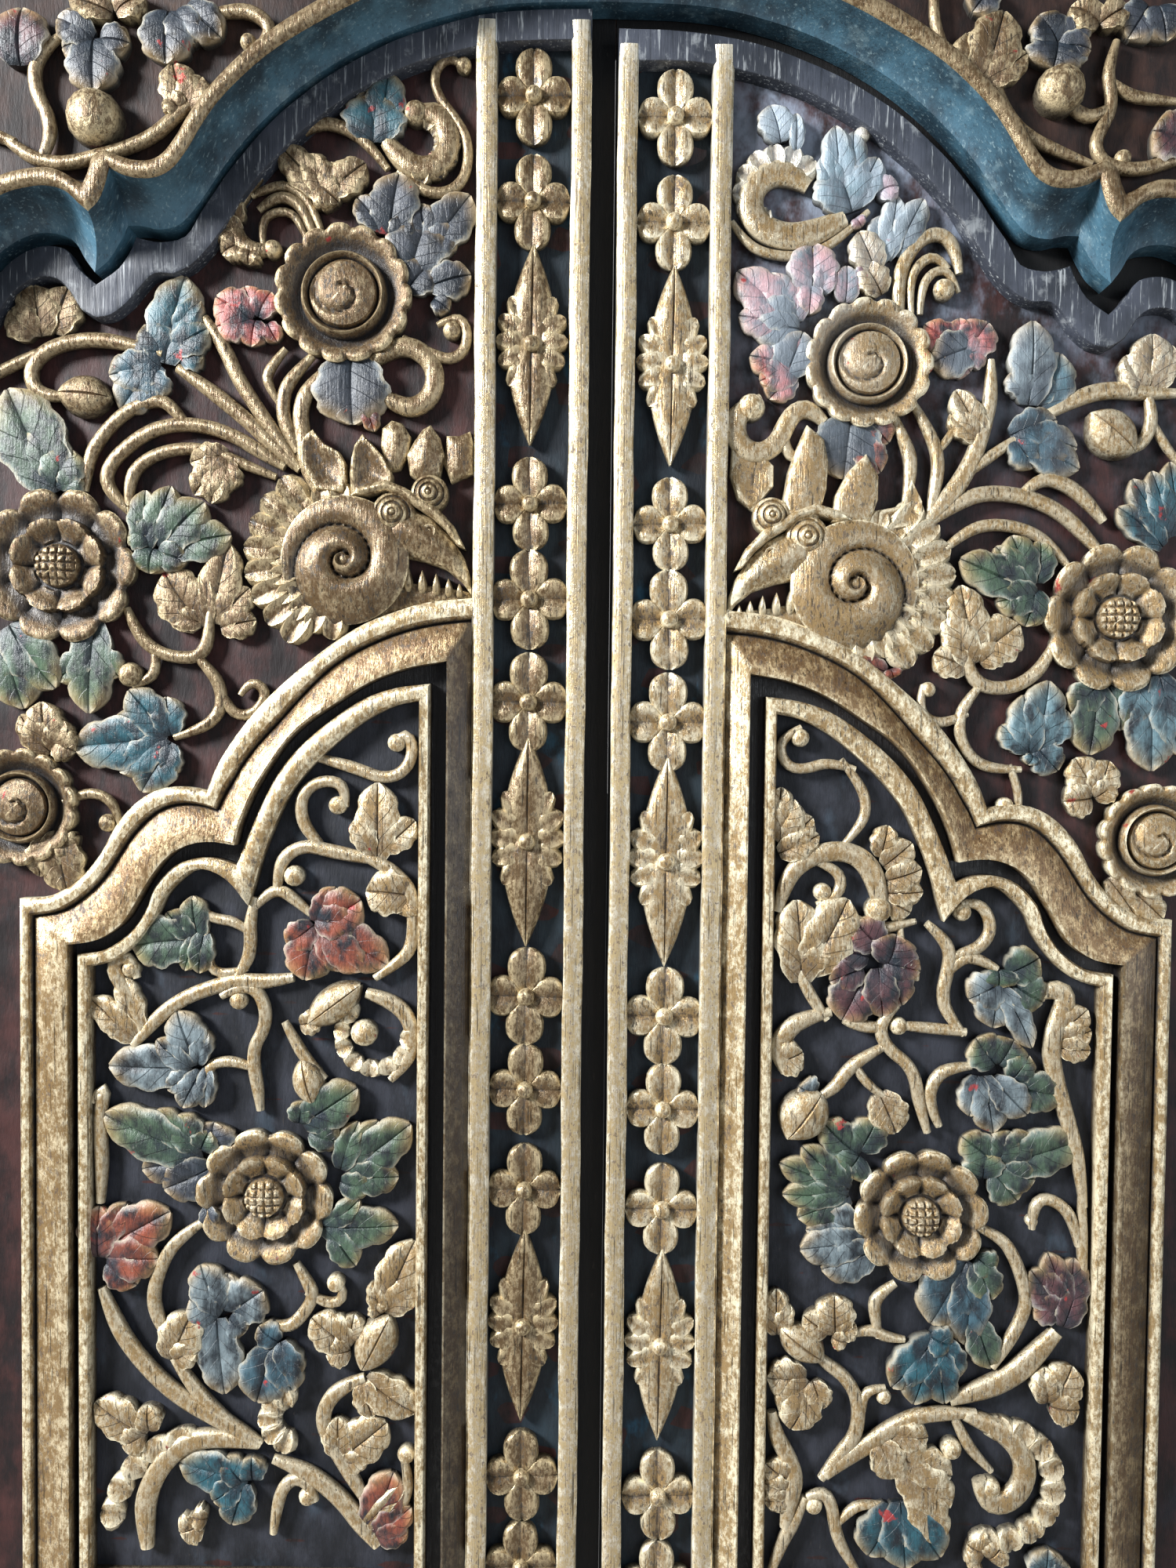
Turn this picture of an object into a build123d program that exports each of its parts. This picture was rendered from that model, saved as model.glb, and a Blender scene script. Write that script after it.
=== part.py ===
from build123d import *
import os
from math import ceil, cos, hypot, radians, sin

os.makedirs("parts", exist_ok=True)

# All sizes are in millimetres. X runs across the doorway from the line where the leaves meet,
# Y runs into the room, with the carved face towards -Y, and Z runs up from the sill's underside.

# Doorway
half_opening = 460.0
sill_top = 60.0
crown_z = 2045.0

# Frame
jamb_width = 120.0
frame_front = -45.0
frame_back = 70.0
rebate_face = 0.0
rebate_width = 40.0
cavetto_back = -17.0
cavetto_slope = 8.0
bead_width = 10.0
bead_front = -48.0
spandrel_ground = -33.0
spandrel_relief = -44.0
head_board_bottom = 1760.0
head_height_over_crown = 105.0
board_margin = 20.0
sill_horn = 30.0
sill_front = -60.0
sill_back = 85.0

# Leaves
leaf_thickness = 24.0
leaf_face_gap = 1.0
leaf_overlap_over_crown = 12.0
floor_clearance = 4.0
lintel_clearance = 4.0
meeting_gap = 0.5
meeting_offset = 7.0
front_meeting_gap = 17.0
hinge_side_gap = 6.0
arch_gap = 3.0
lobe_gap = 7.0
right_leaf_drop = 12.0

# Depths of the leaves' carving
carved_ground = -4.0
motif_face = -13.0
rail_face = -16.0
high_face = -20.0
top_face = -24.0
carving_root = 0.5

# Leaf layout: the stile's rails as distances from the meeting line, then widths and heights
inner_rail_edge = 21.0
outer_rail_start = 68.0
outer_rail_edge = 81.0
flower_line = 45.0
hinge_rail_width = 13.0
panel_foot_below_crown = 1061.0
middle_rail_height = 54.0
bottom_rail_height = 106.0
moulding_steps = (0.0, 8.0, 32.0, 38.0, 46.0)
panel_head_lift = 6.0

# Flower chain down each stile
chain_pitch = 318.0
lozenge_below_crown = 211.0
flower_steps = (-228.0, -162.0, -101.0)
lozenge_reach = 62.0
lozenge_width = 44.0
petal_reach = 30.0
petal_width = 22.0
side_petal_reach = 24.0
side_petal_width = 25.0

# Scalloped edges
rosette_scallops = 9
scallop_valley = 0.88

# Pivots
pivot_radius = 6.0
pivot_play = 0.3
pivot_end_gap = 0.2
pivot_in_leaf = 60.0
pivot_out = 18.0
socket_radius = 11.0
socket_depth = 22.0

# Back of the leaves
batten_height = 70.0
batten_thickness = 20.0
batten_clear_of_pivot = 66.0
batten_clear_of_meeting = 10.0
batten_levels = (260.0, 1040.0, 1700.0)
peg_radius = 6.0
peg_depth = 14.0
peg_inset = 40.0

# Sliding bar on the back
bar_height = 34.0
bar_thickness = 16.0
bar_length = 390.0
bar_level = 1180.0
bar_clear_of_meeting = 10.0
bar_travel = 120.0
bar_play = 0.3
keeper_wall = 12.0
keeper_width = 34.0
keeper_clear_of_meeting = 60.0
knob_radius = 10.0
knob_height = 22.0

# Fixing
fixing_hole_radius = 7.0
fixing_levels = (400.0, 1050.0, 1700.0)
fixing_inset = 35.0
head_peg_places = (-420.0, -140.0, 140.0, 420.0)

# The carving was measured on a doorway of this half width, with its heights counted from this far
# below the crown, on the leaf that hangs level
traced_half_opening = 460.0
trace_below_crown = 1045.0

# Right half of the lobed opening, as places across and heights from the crown: the opening's edge,
# the cavetto's front edge and the outside of the bead
opening_edge = ((0, 0), (58, -2), (96, -9), (135, -22), (170, -40), (198, -60), (222, -83), (237, -101),
                (248, -117), (258, -131), (268, -141), (280, -144), (291, -142), (300, -142),
                (305, -152), (312, -163), (321, -171), (327, -163), (333, -153), (342, -148),
                (355, -147), (368, -151), (380, -159), (390, -170), (399, -184), (409, -199),
                (422, -211), (438, -220), (460, -226))
cavetto_edge = ((0, 10), (60, 8), (100, 0), (140, -15), (175, -33), (205, -52), (230, -75), (243, -92),
                (252, -107), (261, -119), (271, -125), (282, -126), (292, -124), (300, -120),
                (303, -131), (307, -140), (313, -146), (319, -141), (327, -134), (338, -131),
                (350, -132), (364, -136), (378, -145), (390, -158), (400, -173), (411, -188),
                (424, -200), (440, -209), (468, -215))
bead_edge = ((0, 21), (62, 19), (104, 10), (146, -5), (181, -23), (212, -44), (238, -69), (251, -86),
             (260, -101), (268, -111), (276, -115), (286, -115), (296, -112), (303, -109), (310, -113),
             (313, -122), (316, -129), (321, -127), (328, -123), (338, -120), (351, -121), (366, -125),
             (383, -135), (397, -151), (408, -167), (419, -181), (431, -191), (444, -198), (478, -205))

# Inner edge of the plain border that follows the arch on each leaf
border_edge = ((0, -23), (55, -24), (92, -30), (129, -42), (161, -59), (187, -78), (209, -99),
               (224, -117), (236, -135), (247, -151), (260, -165), (272, -171), (284, -171),
               (292, -178), (301, -189), (311, -197), (321, -199), (331, -193), (338, -182),
               (346, -175), (357, -174), (366, -178), (376, -187), (386, -200), (396, -213),
               (408, -227), (425, -239), (460, -246))

# Head of the carved panel: outside of its bead, of its band, of its groove and of its rail, and the
# rail's inside, from the meeting side to the hinge side
panel_heads = (
    ((81, 672), (110, 669), (130, 663), (150, 655), (165, 646), (180, 635), (197, 621), (210, 609),
     (222, 596), (232, 583), (240, 571), (246, 560), (251, 547), (262, 549), (275, 549), (285, 546),
     (295, 540), (305, 530), (312, 520), (318, 508), (325, 498), (335, 487), (345, 481), (355, 477),
     (372, 476)),
    ((81, 658), (100, 656), (120, 652), (140, 645), (160, 635), (175, 624), (190, 609), (205, 592),
     (218, 578), (228, 565), (235, 553), (240, 545), (245, 534), (255, 537), (268, 538), (280, 535),
     (290, 528), (300, 517), (308, 505), (318, 490), (330, 478), (345, 468), (364, 464)),
    ((97, 631), (120, 627), (140, 620), (155, 612), (170, 602), (185, 592), (198, 580), (210, 563),
     (220, 546), (228, 527), (232, 512), (245, 514), (258, 513), (270, 508), (280, 499), (290, 484),
     (298, 470), (305, 460), (318, 451), (330, 448), (339, 447)),
    ((108, 617), (130, 614), (150, 607), (170, 594), (190, 577), (205, 559), (215, 540), (225, 517),
     (229, 506), (232, 499), (245, 503), (258, 503), (272, 498), (285, 484), (290, 470), (300, 455),
     (315, 444), (325, 441), (335, 440)),
    ((115, 606), (130, 603), (148, 594), (165, 581), (183, 564), (198, 545), (208, 524), (216, 503),
     (221, 485), (225, 473), (229, 478), (236, 487), (246, 494), (257, 496), (268, 489), (278, 478),
     (284, 464), (296, 448), (308, 438), (318, 434), (327, 432)),
)

# The creature's head over each panel, as distances from the meeting line
skull = (163, 695, 41)
volute = (157, 697, 24)
beak = ((140, 742), (124, 731), (107, 722), (95, 710), (87, 698), (83, 686), (82, 674), (88, 682),
        (98, 690), (112, 695), (126, 698), (140, 706))
jaw = ((146, 652), (128, 660), (108, 667), (82, 672), (82, 660), (110, 657), (132, 650), (150, 643))
ruffs = ((163, 695, 36, 51, 86, 268, 11), (163, 697, 46, 66, 122, 242, 8))
teeth = ((125, 685, 125, 673, 10), (113, 683, 113, 671, 10), (101, 680, 101, 668, 10),
         (91, 676, 91, 667, 8))
eyes = ((132, 725, 14), (109, 738, 12))

# Carved motifs, as places on the face across and up. A rosette is its centre and radius. A fringe
# is its centre, inner and outer radius, first and last angle and number of scallops. A stem is its
# width at both ends and its course. A lobe and a bud run from root to tip, with a width. A ball is
# its centre and radius.
spandrel_left = {
    "rosettes": (),
    "fringes": (),
    "stems": (
        (9, 7, ((-242, 1020), (-224, 1025), (-208, 1019), (-203, 1009), (-211, 1002))),
    ),
    "lobes": (
        (-312, 1005, -311, 973, 24), (-266, 1022, -268, 990, 24), (-356, 988, -356, 1022, 26),
    ),
    "buds": (),
    "balls": (
        (-311, 957, 17),
    ),
}
spandrel_right = {
    "rosettes": (),
    "fringes": (),
    "stems": (
        (9, 7, ((282, 973), (290, 966), (307, 970))),
    ),
    "lobes": (
        (230, 984, 242, 1027, 24), (275, 1010, 272, 993, 27), (356, 950, 334, 957, 24),
        (330, 1032, 317, 1012, 20), (336, 1032, 340, 1010, 20),
    ),
    "buds": (),
    "balls": (
        (277, 980, 15),
    ),
}
spandrel_outer = {
    "rosettes": (),
    "fringes": (),
    "stems": (
        (10, 8, ((364, 944), (395, 957), (425, 952), (455, 930), (480, 902), (498, 868), (508, 830))),
        (9, 7, ((425, 952), (446, 975), (448, 1000), (432, 1020), (408, 1018), (400, 1002))),
        (9, 7, ((455, 930), (480, 950), (510, 955), (535, 940), (540, 916))), (9, 8, ((6, 1084),
          (40, 1100), (90, 1106), (140, 1094), (190, 1068), (240, 1056), (290, 1066), (330, 1092),
          (370, 1098))),
        (9, 7, ((448, 1000), (478, 1020), (492, 1050), (478, 1080), (450, 1090), (430, 1074))),
    ),
    "lobes": (
        (446, 1000, 432, 1046, 24), (446, 1000, 470, 1040, 20), (498, 870, 532, 880, 24),
        (508, 835, 506, 792, 24), (372, 1098, 392, 1080, 20), (372, 1098, 404, 1098, 20),
        (510, 955, 530, 990, 26), (512, 952, 548, 970, 22),
    ),
    "buds": (),
    "balls": (
        (0, 1090, 16),
    ),
}
left_upper = {
    "rosettes": (
        (-165, 864, 44), (-347, 690, 50), (-373, 535, 38),
    ),
    "fringes": (
        (-118, 961, 14, 27, -100, 75, 6),
    ),
    "stems": (
        (13, 15, ((-121, 978), (-111, 981), (-101, 973), (-98, 960), (-103, 948), (-115, 943),
          (-136, 958))), (9, 7, ((-234, 917), (-208, 956), (-180, 973), (-165, 970), (-140, 947))),
        (14, 9, ((-236, 922), (-238, 908), (-232, 896), (-221, 890), (-212, 893))),
        (9, 9, ((-400, 806), (-355, 828))), (9, 9, ((-285, 827), (-330, 835), (-352, 830), (-364, 820),
          (-366, 808), (-358, 798), (-346, 798))), (10, 9, ((-268, 815), (-196, 756))),
        (9, 9, ((-252, 846), (-196, 758))),
        (8, 9, ((-305, 728), (-318, 745), (-315, 756), (-288, 778), (-250, 780), (-206, 757))),
        (8, 9, ((-188, 823), (-204, 800), (-196, 768))),
        (9, 11, ((-177, 816), (-193, 792), (-184, 744))), (12, 12, ((-144, 824), (-134, 832),
          (-120, 832), (-108, 822), (-106, 808), (-113, 796), (-128, 792), (-141, 802))),
    ),
    "lobes": (
        (-147, 960, -145, 989, 30), (-136, 902, -131, 941, 24), (-112, 893, -84, 927, 22),
        (-122, 880, -114, 910, 30), (-125, 868, -111, 884, 20), (-280, 820, -267, 875, 26),
        (-282, 818, -315, 811, 20), (-284, 820, -309, 791, 22), (-148, 736, -150, 760, 20),
        (-160, 826, -160, 782, 36), (-110, 746, -108, 790, 20), (-92, 750, -88, 784, 22),
        (-350, 838, -340, 867, 20), (-358, 836, -362, 868, 22), (-348, 738, -381, 802, 34),
        (-350, 740, -340, 765, 22), (-352, 742, -356, 782, 22), (-282, 702, -255, 733, 22),
        (-278, 702, -237, 712, 20), (-256, 652, -281, 686, 25), (-250, 655, -238, 706, 20),
        (-278, 580, -339, 574, 25), (-276, 578, -294, 545, 21), (-325, 655, -330, 596, 23),
        (-380, 652, -351, 611, 24), (-382, 645, -372, 598, 24), (-386, 640, -390, 610, 20),
        (-350, 520, -343, 480, 22),
    ),
    "buds": (
        (-347, 800, -313, 797, 28),
    ),
    "balls": (),
}
left_panel = {
    "rosettes": (
        (-214, 282, 45),
    ),
    "fringes": (
        (-143, 388, 19, 27, -235, 10, 8), (-195, 133, 12, 24, 95, 265, 5),
        (-255, 60, 56, 68, 95, 180, 5),
    ),
    "stems": (
        (8, 9, ((-207, 485), (-200, 507), (-188, 512), (-145, 503))),
        (9, 8, ((-150, 505), (-120, 483), (-119, 448), (-140, 428))),
        (9, 10, ((-298, 383), (-262, 414), (-232, 424), (-200, 425))),
        (10, 8, ((-295, 392), (-314, 430), (-310, 438), (-301, 436), (-299, 428))),
        (8, 9, ((-325, 346), (-318, 356), (-322, 280))),
        (11, 8, ((-145, 415), (-122, 402), (-118, 388), (-120, 372), (-130, 362))),
        (8, 9, ((-258, 262), (-278, 244), (-285, 228), (-288, 212), (-280, 190))),
        (10, 11, ((-320, 216), (-290, 165), (-220, 118))), (9, 9, ((-272, 170), (-240, 134))),
        (12, 14, ((-222, 117), (-265, 118), (-280, 105), (-294, 70), (-292, 50))),
        (10, 9, ((-152, 160), (-165, 155), (-176, 130), (-147, 78))),
        (10, 12, ((-205, 105), (-175, 90), (-142, 52))),
    ),
    "lobes": (
        (-142, 503, -141, 553, 21), (-120, 480, -149, 484, 22), (-180, 460, -152, 476, 24),
        (-182, 460, -189, 424, 24), (-180, 462, -135, 434, 22), (-262, 450, -301, 447, 25),
        (-258, 368, -272, 403, 20), (-262, 366, -316, 366, 22), (-258, 308, -319, 335, 24),
        (-255, 306, -295, 300, 20), (-250, 300, -280, 285, 22), (-250, 312, -248, 330, 24),
        (-190, 330, -154, 354, 22), (-162, 298, -119, 330, 22), (-178, 262, -127, 262, 20),
        (-322, 245, -277, 272, 24), (-318, 240, -284, 240, 22), (-324, 240, -322, 274, 20),
        (-245, 200, -264, 212, 20), (-244, 205, -256, 236, 20), (-242, 205, -238, 230, 20),
        (-246, 200, -240, 150, 22), (-236, 205, -216, 220, 24), (-276, 172, -262, 204, 22),
        (-208, 182, -220, 145, 26), (-292, 122, -326, 143, 20), (-225, 92, -270, 104, 20),
        (-136, 205, -118, 254, 22), (-158, 182, -183, 202, 20), (-148, 162, -116, 138, 20),
        (-166, 106, -134, 132, 22), (-145, 58, -128, 98, 22),
    ),
    "buds": (
        (-186, 396, -152, 422, 24), (-190, 372, -182, 343, 22), (-150, 168, -132, 204, 28),
    ),
    "balls": (),
}
right_upper = {
    "rosettes": (
        (170, 848, 41), (333, 688, 48), (361, 545, 37),
    ),
    "fringes": (
        (112, 956, 17, 30, 30, 250, 8),
    ),
    "stems": (
        (15, 17, ((127, 962), (104, 967), (94, 957), (93, 943), (102, 932), (118, 927), (150, 938))),
        (9, 8, ((190, 878), (192, 914), (202, 928), (215, 932), (225, 923), (227, 910))),
        (14, 11, ((99, 823), (88, 818), (85, 806), (90, 794), (102, 790), (113, 797), (124, 818),
          (134, 820), (140, 814))), (8, 9, ((188, 814), (200, 782), (197, 764))),
        (13, 8, ((211, 750), (240, 792), (249, 848))), (10, 8, ((238, 782), (263, 800))),
        (10, 9, ((214, 750), (250, 768), (275, 765), (295, 756), (320, 732))),
        (9, 9, ((272, 768), (281, 778), (298, 774), (321, 753))),
        (11, 10, ((290, 820), (325, 834), (364, 832))),
        (9, 8, ((236, 668), (238, 653), (248, 643), (262, 642), (275, 646), (292, 668))),
    ),
    "lobes": (
        (158, 944, 148, 972, 30), (134, 892, 133, 924, 24), (122, 872, 87, 907, 22),
        (118, 840, 128, 868, 22), (132, 738, 137, 801, 27), (167, 728, 164, 782, 25),
        (160, 814, 155, 775, 36), (264, 802, 305, 798, 20), (273, 823, 276, 876, 22),
        (280, 822, 294, 856, 24), (232, 854, 246, 876, 20), (238, 860, 210, 850, 22),
        (350, 832, 351, 869, 22), (278, 704, 231, 724, 20), (241, 660, 232, 708, 21),
        (243, 662, 270, 684, 24), (282, 602, 292, 647, 22), (322, 644, 318, 600, 23),
        (356, 648, 358, 590, 25), (362, 652, 374, 600, 20),
    ),
    "buds": (
        (341, 794, 312, 818, 32),
    ),
    "balls": (),
}
right_panel = {
    "rosettes": (
        (214, 298, 44),
    ),
    "fringes": (
        (268, 118, 34, 46, -110, 100, 9),
    ),
    "stems": (
        (10, 15, ((119, 500), (123, 518), (136, 531), (154, 537), (171, 533), (184, 504))),
        (9, 10, ((149, 429), (134, 454))), (10, 14, ((150, 430), (123, 416), (119, 404), (124, 395))),
        (9, 9, ((238, 419), (205, 422))), (10, 9, ((186, 421), (166, 424))),
        (8, 14, ((321, 308), (297, 410), (307, 440), (302, 449), (294, 446))),
        (15, 13, ((303, 218), (275, 190), (240, 176))),
        (9, 8, ((155, 124), (174, 148), (177, 162), (167, 190), (148, 204))),
        (12, 9, ((158, 126), (215, 164), (250, 166))), (13, 15, ((250, 164), (281, 146), (288, 130),
          (284, 114), (272, 105), (261, 109), (258, 118))), (9, 8, ((122, 62), (141, 105))),
        (12, 10, ((130, 92), (136, 122), (120, 162))),
    ),
    "lobes": (
        (134, 450, 131, 504, 24), (138, 457, 165, 504, 26), (184, 474, 168, 490, 20),
        (174, 454, 160, 426, 24), (188, 460, 200, 436, 20), (190, 462, 196, 482, 24),
        (174, 337, 164, 325, 22), (186, 378, 198, 352, 20), (264, 452, 243, 440, 20),
        (262, 450, 258, 422, 20), (268, 457, 288, 468, 20), (272, 450, 291, 438, 20),
        (262, 460, 262, 448, 20), (262, 397, 248, 414, 20), (264, 397, 273, 414, 22),
        (272, 384, 306, 376, 20), (268, 332, 317, 348, 23), (255, 322, 255, 340, 20),
        (310, 234, 288, 262, 20), (302, 174, 316, 199, 21), (246, 268, 222, 226, 30),
        (248, 262, 246, 212, 22), (226, 217, 197, 184, 20), (196, 152, 216, 124, 24),
        (205, 137, 238, 124, 20), (205, 132, 236, 102, 24), (212, 122, 233, 80, 20),
        (160, 218, 158, 244, 20), (142, 188, 116, 188, 20), (144, 182, 133, 154, 20),
        (185, 274, 150, 262, 22), (178, 280, 136, 276, 20), (178, 287, 148, 294, 22),
        (200, 104, 185, 70, 24), (205, 107, 208, 62, 24), (210, 102, 232, 70, 22),
    ),
    "buds": (
        (148, 378, 126, 348, 34), (152, 202, 124, 223, 24),
    ),
    "balls": (),
}

# Levels and places that follow from the sizes
head_top = crown_z + head_height_over_crown
outer_x = half_opening + jamb_width
deep_x = half_opening + rebate_width
cavetto_x = half_opening + cavetto_slope
leaf_front = rebate_face + leaf_face_gap
leaf_back = leaf_front + leaf_thickness
heel_radius = leaf_thickness / 2
pivot_x = half_opening + heel_radius + leaf_face_gap
pivot_y = leaf_front + heel_radius
leaf_bottom = sill_top + floor_clearance
leaf_top = crown_z + leaf_overlap_over_crown
lintel_bottom = leaf_top + lintel_clearance
leaf_near = front_meeting_gap / 2
leaf_far = half_opening - hinge_side_gap
upper_panel_foot = crown_z - panel_foot_below_crown
lower_panel_head = upper_panel_foot - middle_rail_height
lower_panel_foot = leaf_bottom + bottom_rail_height
trace_level = crown_z - trace_below_crown
spread = half_opening / traced_half_opening


def polygon(points):
    return Polygon(*points, align=None)


def box2d(x0, x1, z0, z1):
    return polygon([(x0, z0), (x1, z0), (x1, z1), (x0, z1)])


def slab(shape, back, front):
    """A flat shape drawn across and up, made solid between two depths."""
    return extrude(Plane.XZ.offset(-back) * shape, amount=back - front, dir=(0, -1, 0))


def block(x0, x1, y0, y1, z0, z1):
    return Pos((x0 + x1) / 2, (y0 + y1) / 2, (z0 + z1) / 2) * Box(abs(x1 - x0), abs(y1 - y0), abs(z1 - z0))


def upright(x, y, z0, z1, radius):
    return Pos(x, y, (z0 + z1) / 2) * Cylinder(radius, z1 - z0)


def crosswise(x, z, y0, y1, radius):
    return Pos(x, (y0 + y1) / 2, z) * Rot(90, 0, 0) * Cylinder(radius, y1 - y0)


def disc(x, z, radius, count):
    """A round drawn with a few straight sides, as a gouge leaves it."""
    step = radians(360 / count)
    return polygon([(x + radius * cos(step * i), z + radius * sin(step * i)) for i in range(count)])


def lobe(x0, z0, x1, z1, width):
    """One lobe of a leaf, roughed out: pointed at its root, widest past the middle, blunt at the tip."""
    dx, dz = x1 - x0, z1 - z0
    length = max(hypot(dx, dz), 1.0)
    profile = ((0.0, 0.0), (0.6, 0.5), (1.0, 0.2), (1.0, -0.2), (0.6, -0.5))
    px, pz = -dz / length * width, dx / length * width
    return polygon([(x0 + dx * t + px * s, z0 + dz * t + pz * s) for t, s in profile])


def stem(start, end, points):
    """The strip of a stem, one piece for each stretch of its course."""
    edges = []
    for i, (x, z) in enumerate(points):
        px, pz = points[max(i - 1, 0)]
        nx, nz = points[min(i + 1, len(points) - 1)]
        run = max(hypot(nx - px, nz - pz), 1.0)
        half = (start + (end - start) * i / (len(points) - 1)) / 2
        edges.append(((x - (nz - pz) / run * half, z + (nx - px) / run * half),
                      (x + (nz - pz) / run * half, z - (nx - px) / run * half)))
    return [polygon([a[0], b[0], b[1], a[1]]) for a, b in zip(edges, edges[1:])]


def around(x, z, radius, angle):
    return x + radius * cos(radians(angle)), z + radius * sin(radians(angle))


def fringe(x, z, inner, outer, first, last, count):
    """A scalloped band about a centre, from one angle to another."""
    step = (last - first) / count
    rim = []
    for i in range(count):
        rim.append(around(x, z, outer * scallop_valley, first + step * i))
        rim.append(around(x, z, outer, first + step * (i + 0.5)))
    rim.append(around(x, z, outer * scallop_valley, last))
    back = [around(x, z, inner, last - (last - first) * i / 4) for i in range(5)]
    return polygon(rim + back)


def rosette(x, z, radius):
    """A round flower with a scalloped edge."""
    step = 360 / rosette_scallops
    rim = []
    for i in range(rosette_scallops):
        rim.append(around(x, z, radius, step * i))
        rim.append(around(x, z, radius * scallop_valley, step * (i + 0.5)))
    return polygon(rim)


def flower(x, z):
    """Four blunt petals about a centre."""
    up, across = petal_reach, side_petal_reach
    half_up, half_across = petal_width / 2, side_petal_width / 2
    quarter = [(across, half_across * 0.7), (half_up * 0.6, half_across * 0.5), (half_up * 0.7, up)]
    top = quarter + [(-a, b) for a, b in reversed(quarter)]
    return polygon([(x + a, z + b) for a, b in top] + [(x - a, z - b) for a, b in top])


def lozenge(x, z):
    """A tall pointed leaf over two side leaves."""
    reach, half = lozenge_reach, lozenge_width / 2
    top = [(half, reach * 0.3), (0.0, reach), (-half, reach * 0.3)]
    return polygon([(x + a, z + b) for a, b in top] + [(x - a, z - b) for a, b in top])


def joined(shapes):
    return Sketch() + shapes


def place(x, z, drop=0.0):
    """A traced place on the face, on this doorway's size, on a leaf that hangs lower by a drop."""
    return x * spread, z + trace_level - drop


def carved(motifs, drop=0.0, flip=1):
    """The flat shapes of a table of motifs: the broad work, and what stands higher."""
    low, high = [], []
    for start, end, points in motifs["stems"]:
        low += stem(start, end, [place(flip * x, z, drop) for x, z in points])
    for x0, z0, x1, z1, width in motifs["lobes"]:
        low.append(lobe(*place(flip * x0, z0, drop), *place(flip * x1, z1, drop), width))
    for x, z, inner, outer, first, last, count in motifs["fringes"]:
        low.append(fringe(*place(flip * x, z, drop), inner, outer, first, last, count))
    for x, z, radius in motifs["rosettes"]:
        low.append(rosette(*place(flip * x, z, drop), radius))
        high.append(disc(*place(flip * x, z, drop), radius * 0.5, 8))
    for x0, z0, x1, z1, width in motifs["buds"]:
        high.append(lobe(*place(flip * x0, z0, drop), *place(flip * x1, z1, drop), width))
    for x, z, radius in motifs["balls"]:
        high.append(disc(*place(flip * x, z, drop), radius, 6))
    return low, high


def inset(points, gaps):
    """Move a run of points inwards, square to the run, each by its own gap."""
    moved = []
    for i, (x, z) in enumerate(points):
        px, pz = points[max(i - 1, 0)]
        nx, nz = points[min(i + 1, len(points) - 1)]
        run = hypot(nx - px, nz - pz)
        moved.append((x + (nz - pz) / run * gaps[i], z - (nx - px) / run * gaps[i]))
    return moved


def arch_run(points, far_x):
    """An arch from its crown to the jamb, in its true place."""
    run = [(x * spread, crown_z + z) for x, z in points]
    return run[:-1] + [(far_x, run[-1][1])]


def under_arch(run, bottom):
    """The flat shape below an arch and its mirror image, down to a level."""
    right = run + [(run[-1][0], bottom)]
    left = [(-x, z) for x, z in right[:0:-1]]
    return polygon(right + left)


# Head board: lobed arch with its cavetto and bead, and carved spandrels, in one board
opening_run = arch_run(opening_edge, half_opening)
cavetto_run = arch_run(cavetto_edge, cavetto_x)
bead_run = arch_run(bead_edge, cavetto_x + bead_width)
below_board = head_board_bottom - board_margin
board = box2d(-outer_x, outer_x, head_board_bottom, head_top)
inside_margin = box2d(-outer_x + board_margin, outer_x - board_margin, head_board_bottom - board_margin,
                      head_top - board_margin)
under_bead = under_arch(bead_run, below_board)
spandrels = board & inside_margin - under_bead
bead_strip = board & under_bead - under_arch(cavetto_run, below_board)
relief = []
for motifs, flips in ((spandrel_left, (1,)), (spandrel_right, (1,)), (spandrel_outer, (-1, 1))):
    for flip in flips:
        low, high = carved(motifs, 0.0, flip)
        relief += low + high

head_board = slab(board, rebate_face, spandrel_ground)
head_board += slab(board - inside_margin, spandrel_ground, frame_front)
head_board += slab(joined(relief) & spandrels, spandrel_ground + carving_root, spandrel_relief)
head_board += slab(bead_strip, spandrel_ground, bead_front)
head_board -= slab(under_arch(opening_run, below_board), rebate_face + 1, cavetto_back - 1)
head_board -= loft([Plane.XZ.offset(-cavetto_back) * under_arch(opening_run, below_board),
                    Plane.XZ.offset(-frame_front) * under_arch(cavetto_run, below_board)], ruled=True)

# Jambs: a face board and a rebated post in one piece each
for side, name in ((-1, "left_jamb"), (1, "right_jamb")):
    profile = ((half_opening, rebate_face), (half_opening, cavetto_back), (cavetto_x, frame_front),
               (cavetto_x, bead_front), (cavetto_x + bead_width, bead_front),
               (cavetto_x + bead_width, frame_front), (outer_x, frame_front), (outer_x, rebate_face))
    section = polygon([(side * x, y) for x, y in profile])
    jamb = Pos(0, 0, sill_top) * extrude(section, amount=head_board_bottom - sill_top, dir=(0, 0, 1))
    jamb += block(side * deep_x, side * outer_x, rebate_face, frame_back, sill_top, lintel_bottom)
    for level in fixing_levels:
        hole_x = side * (outer_x - fixing_inset)
        jamb -= crosswise(hole_x, level, bead_front - 1, frame_back + 1, fixing_hole_radius)
    export_step(jamb, f"parts/{name}.step")

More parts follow.
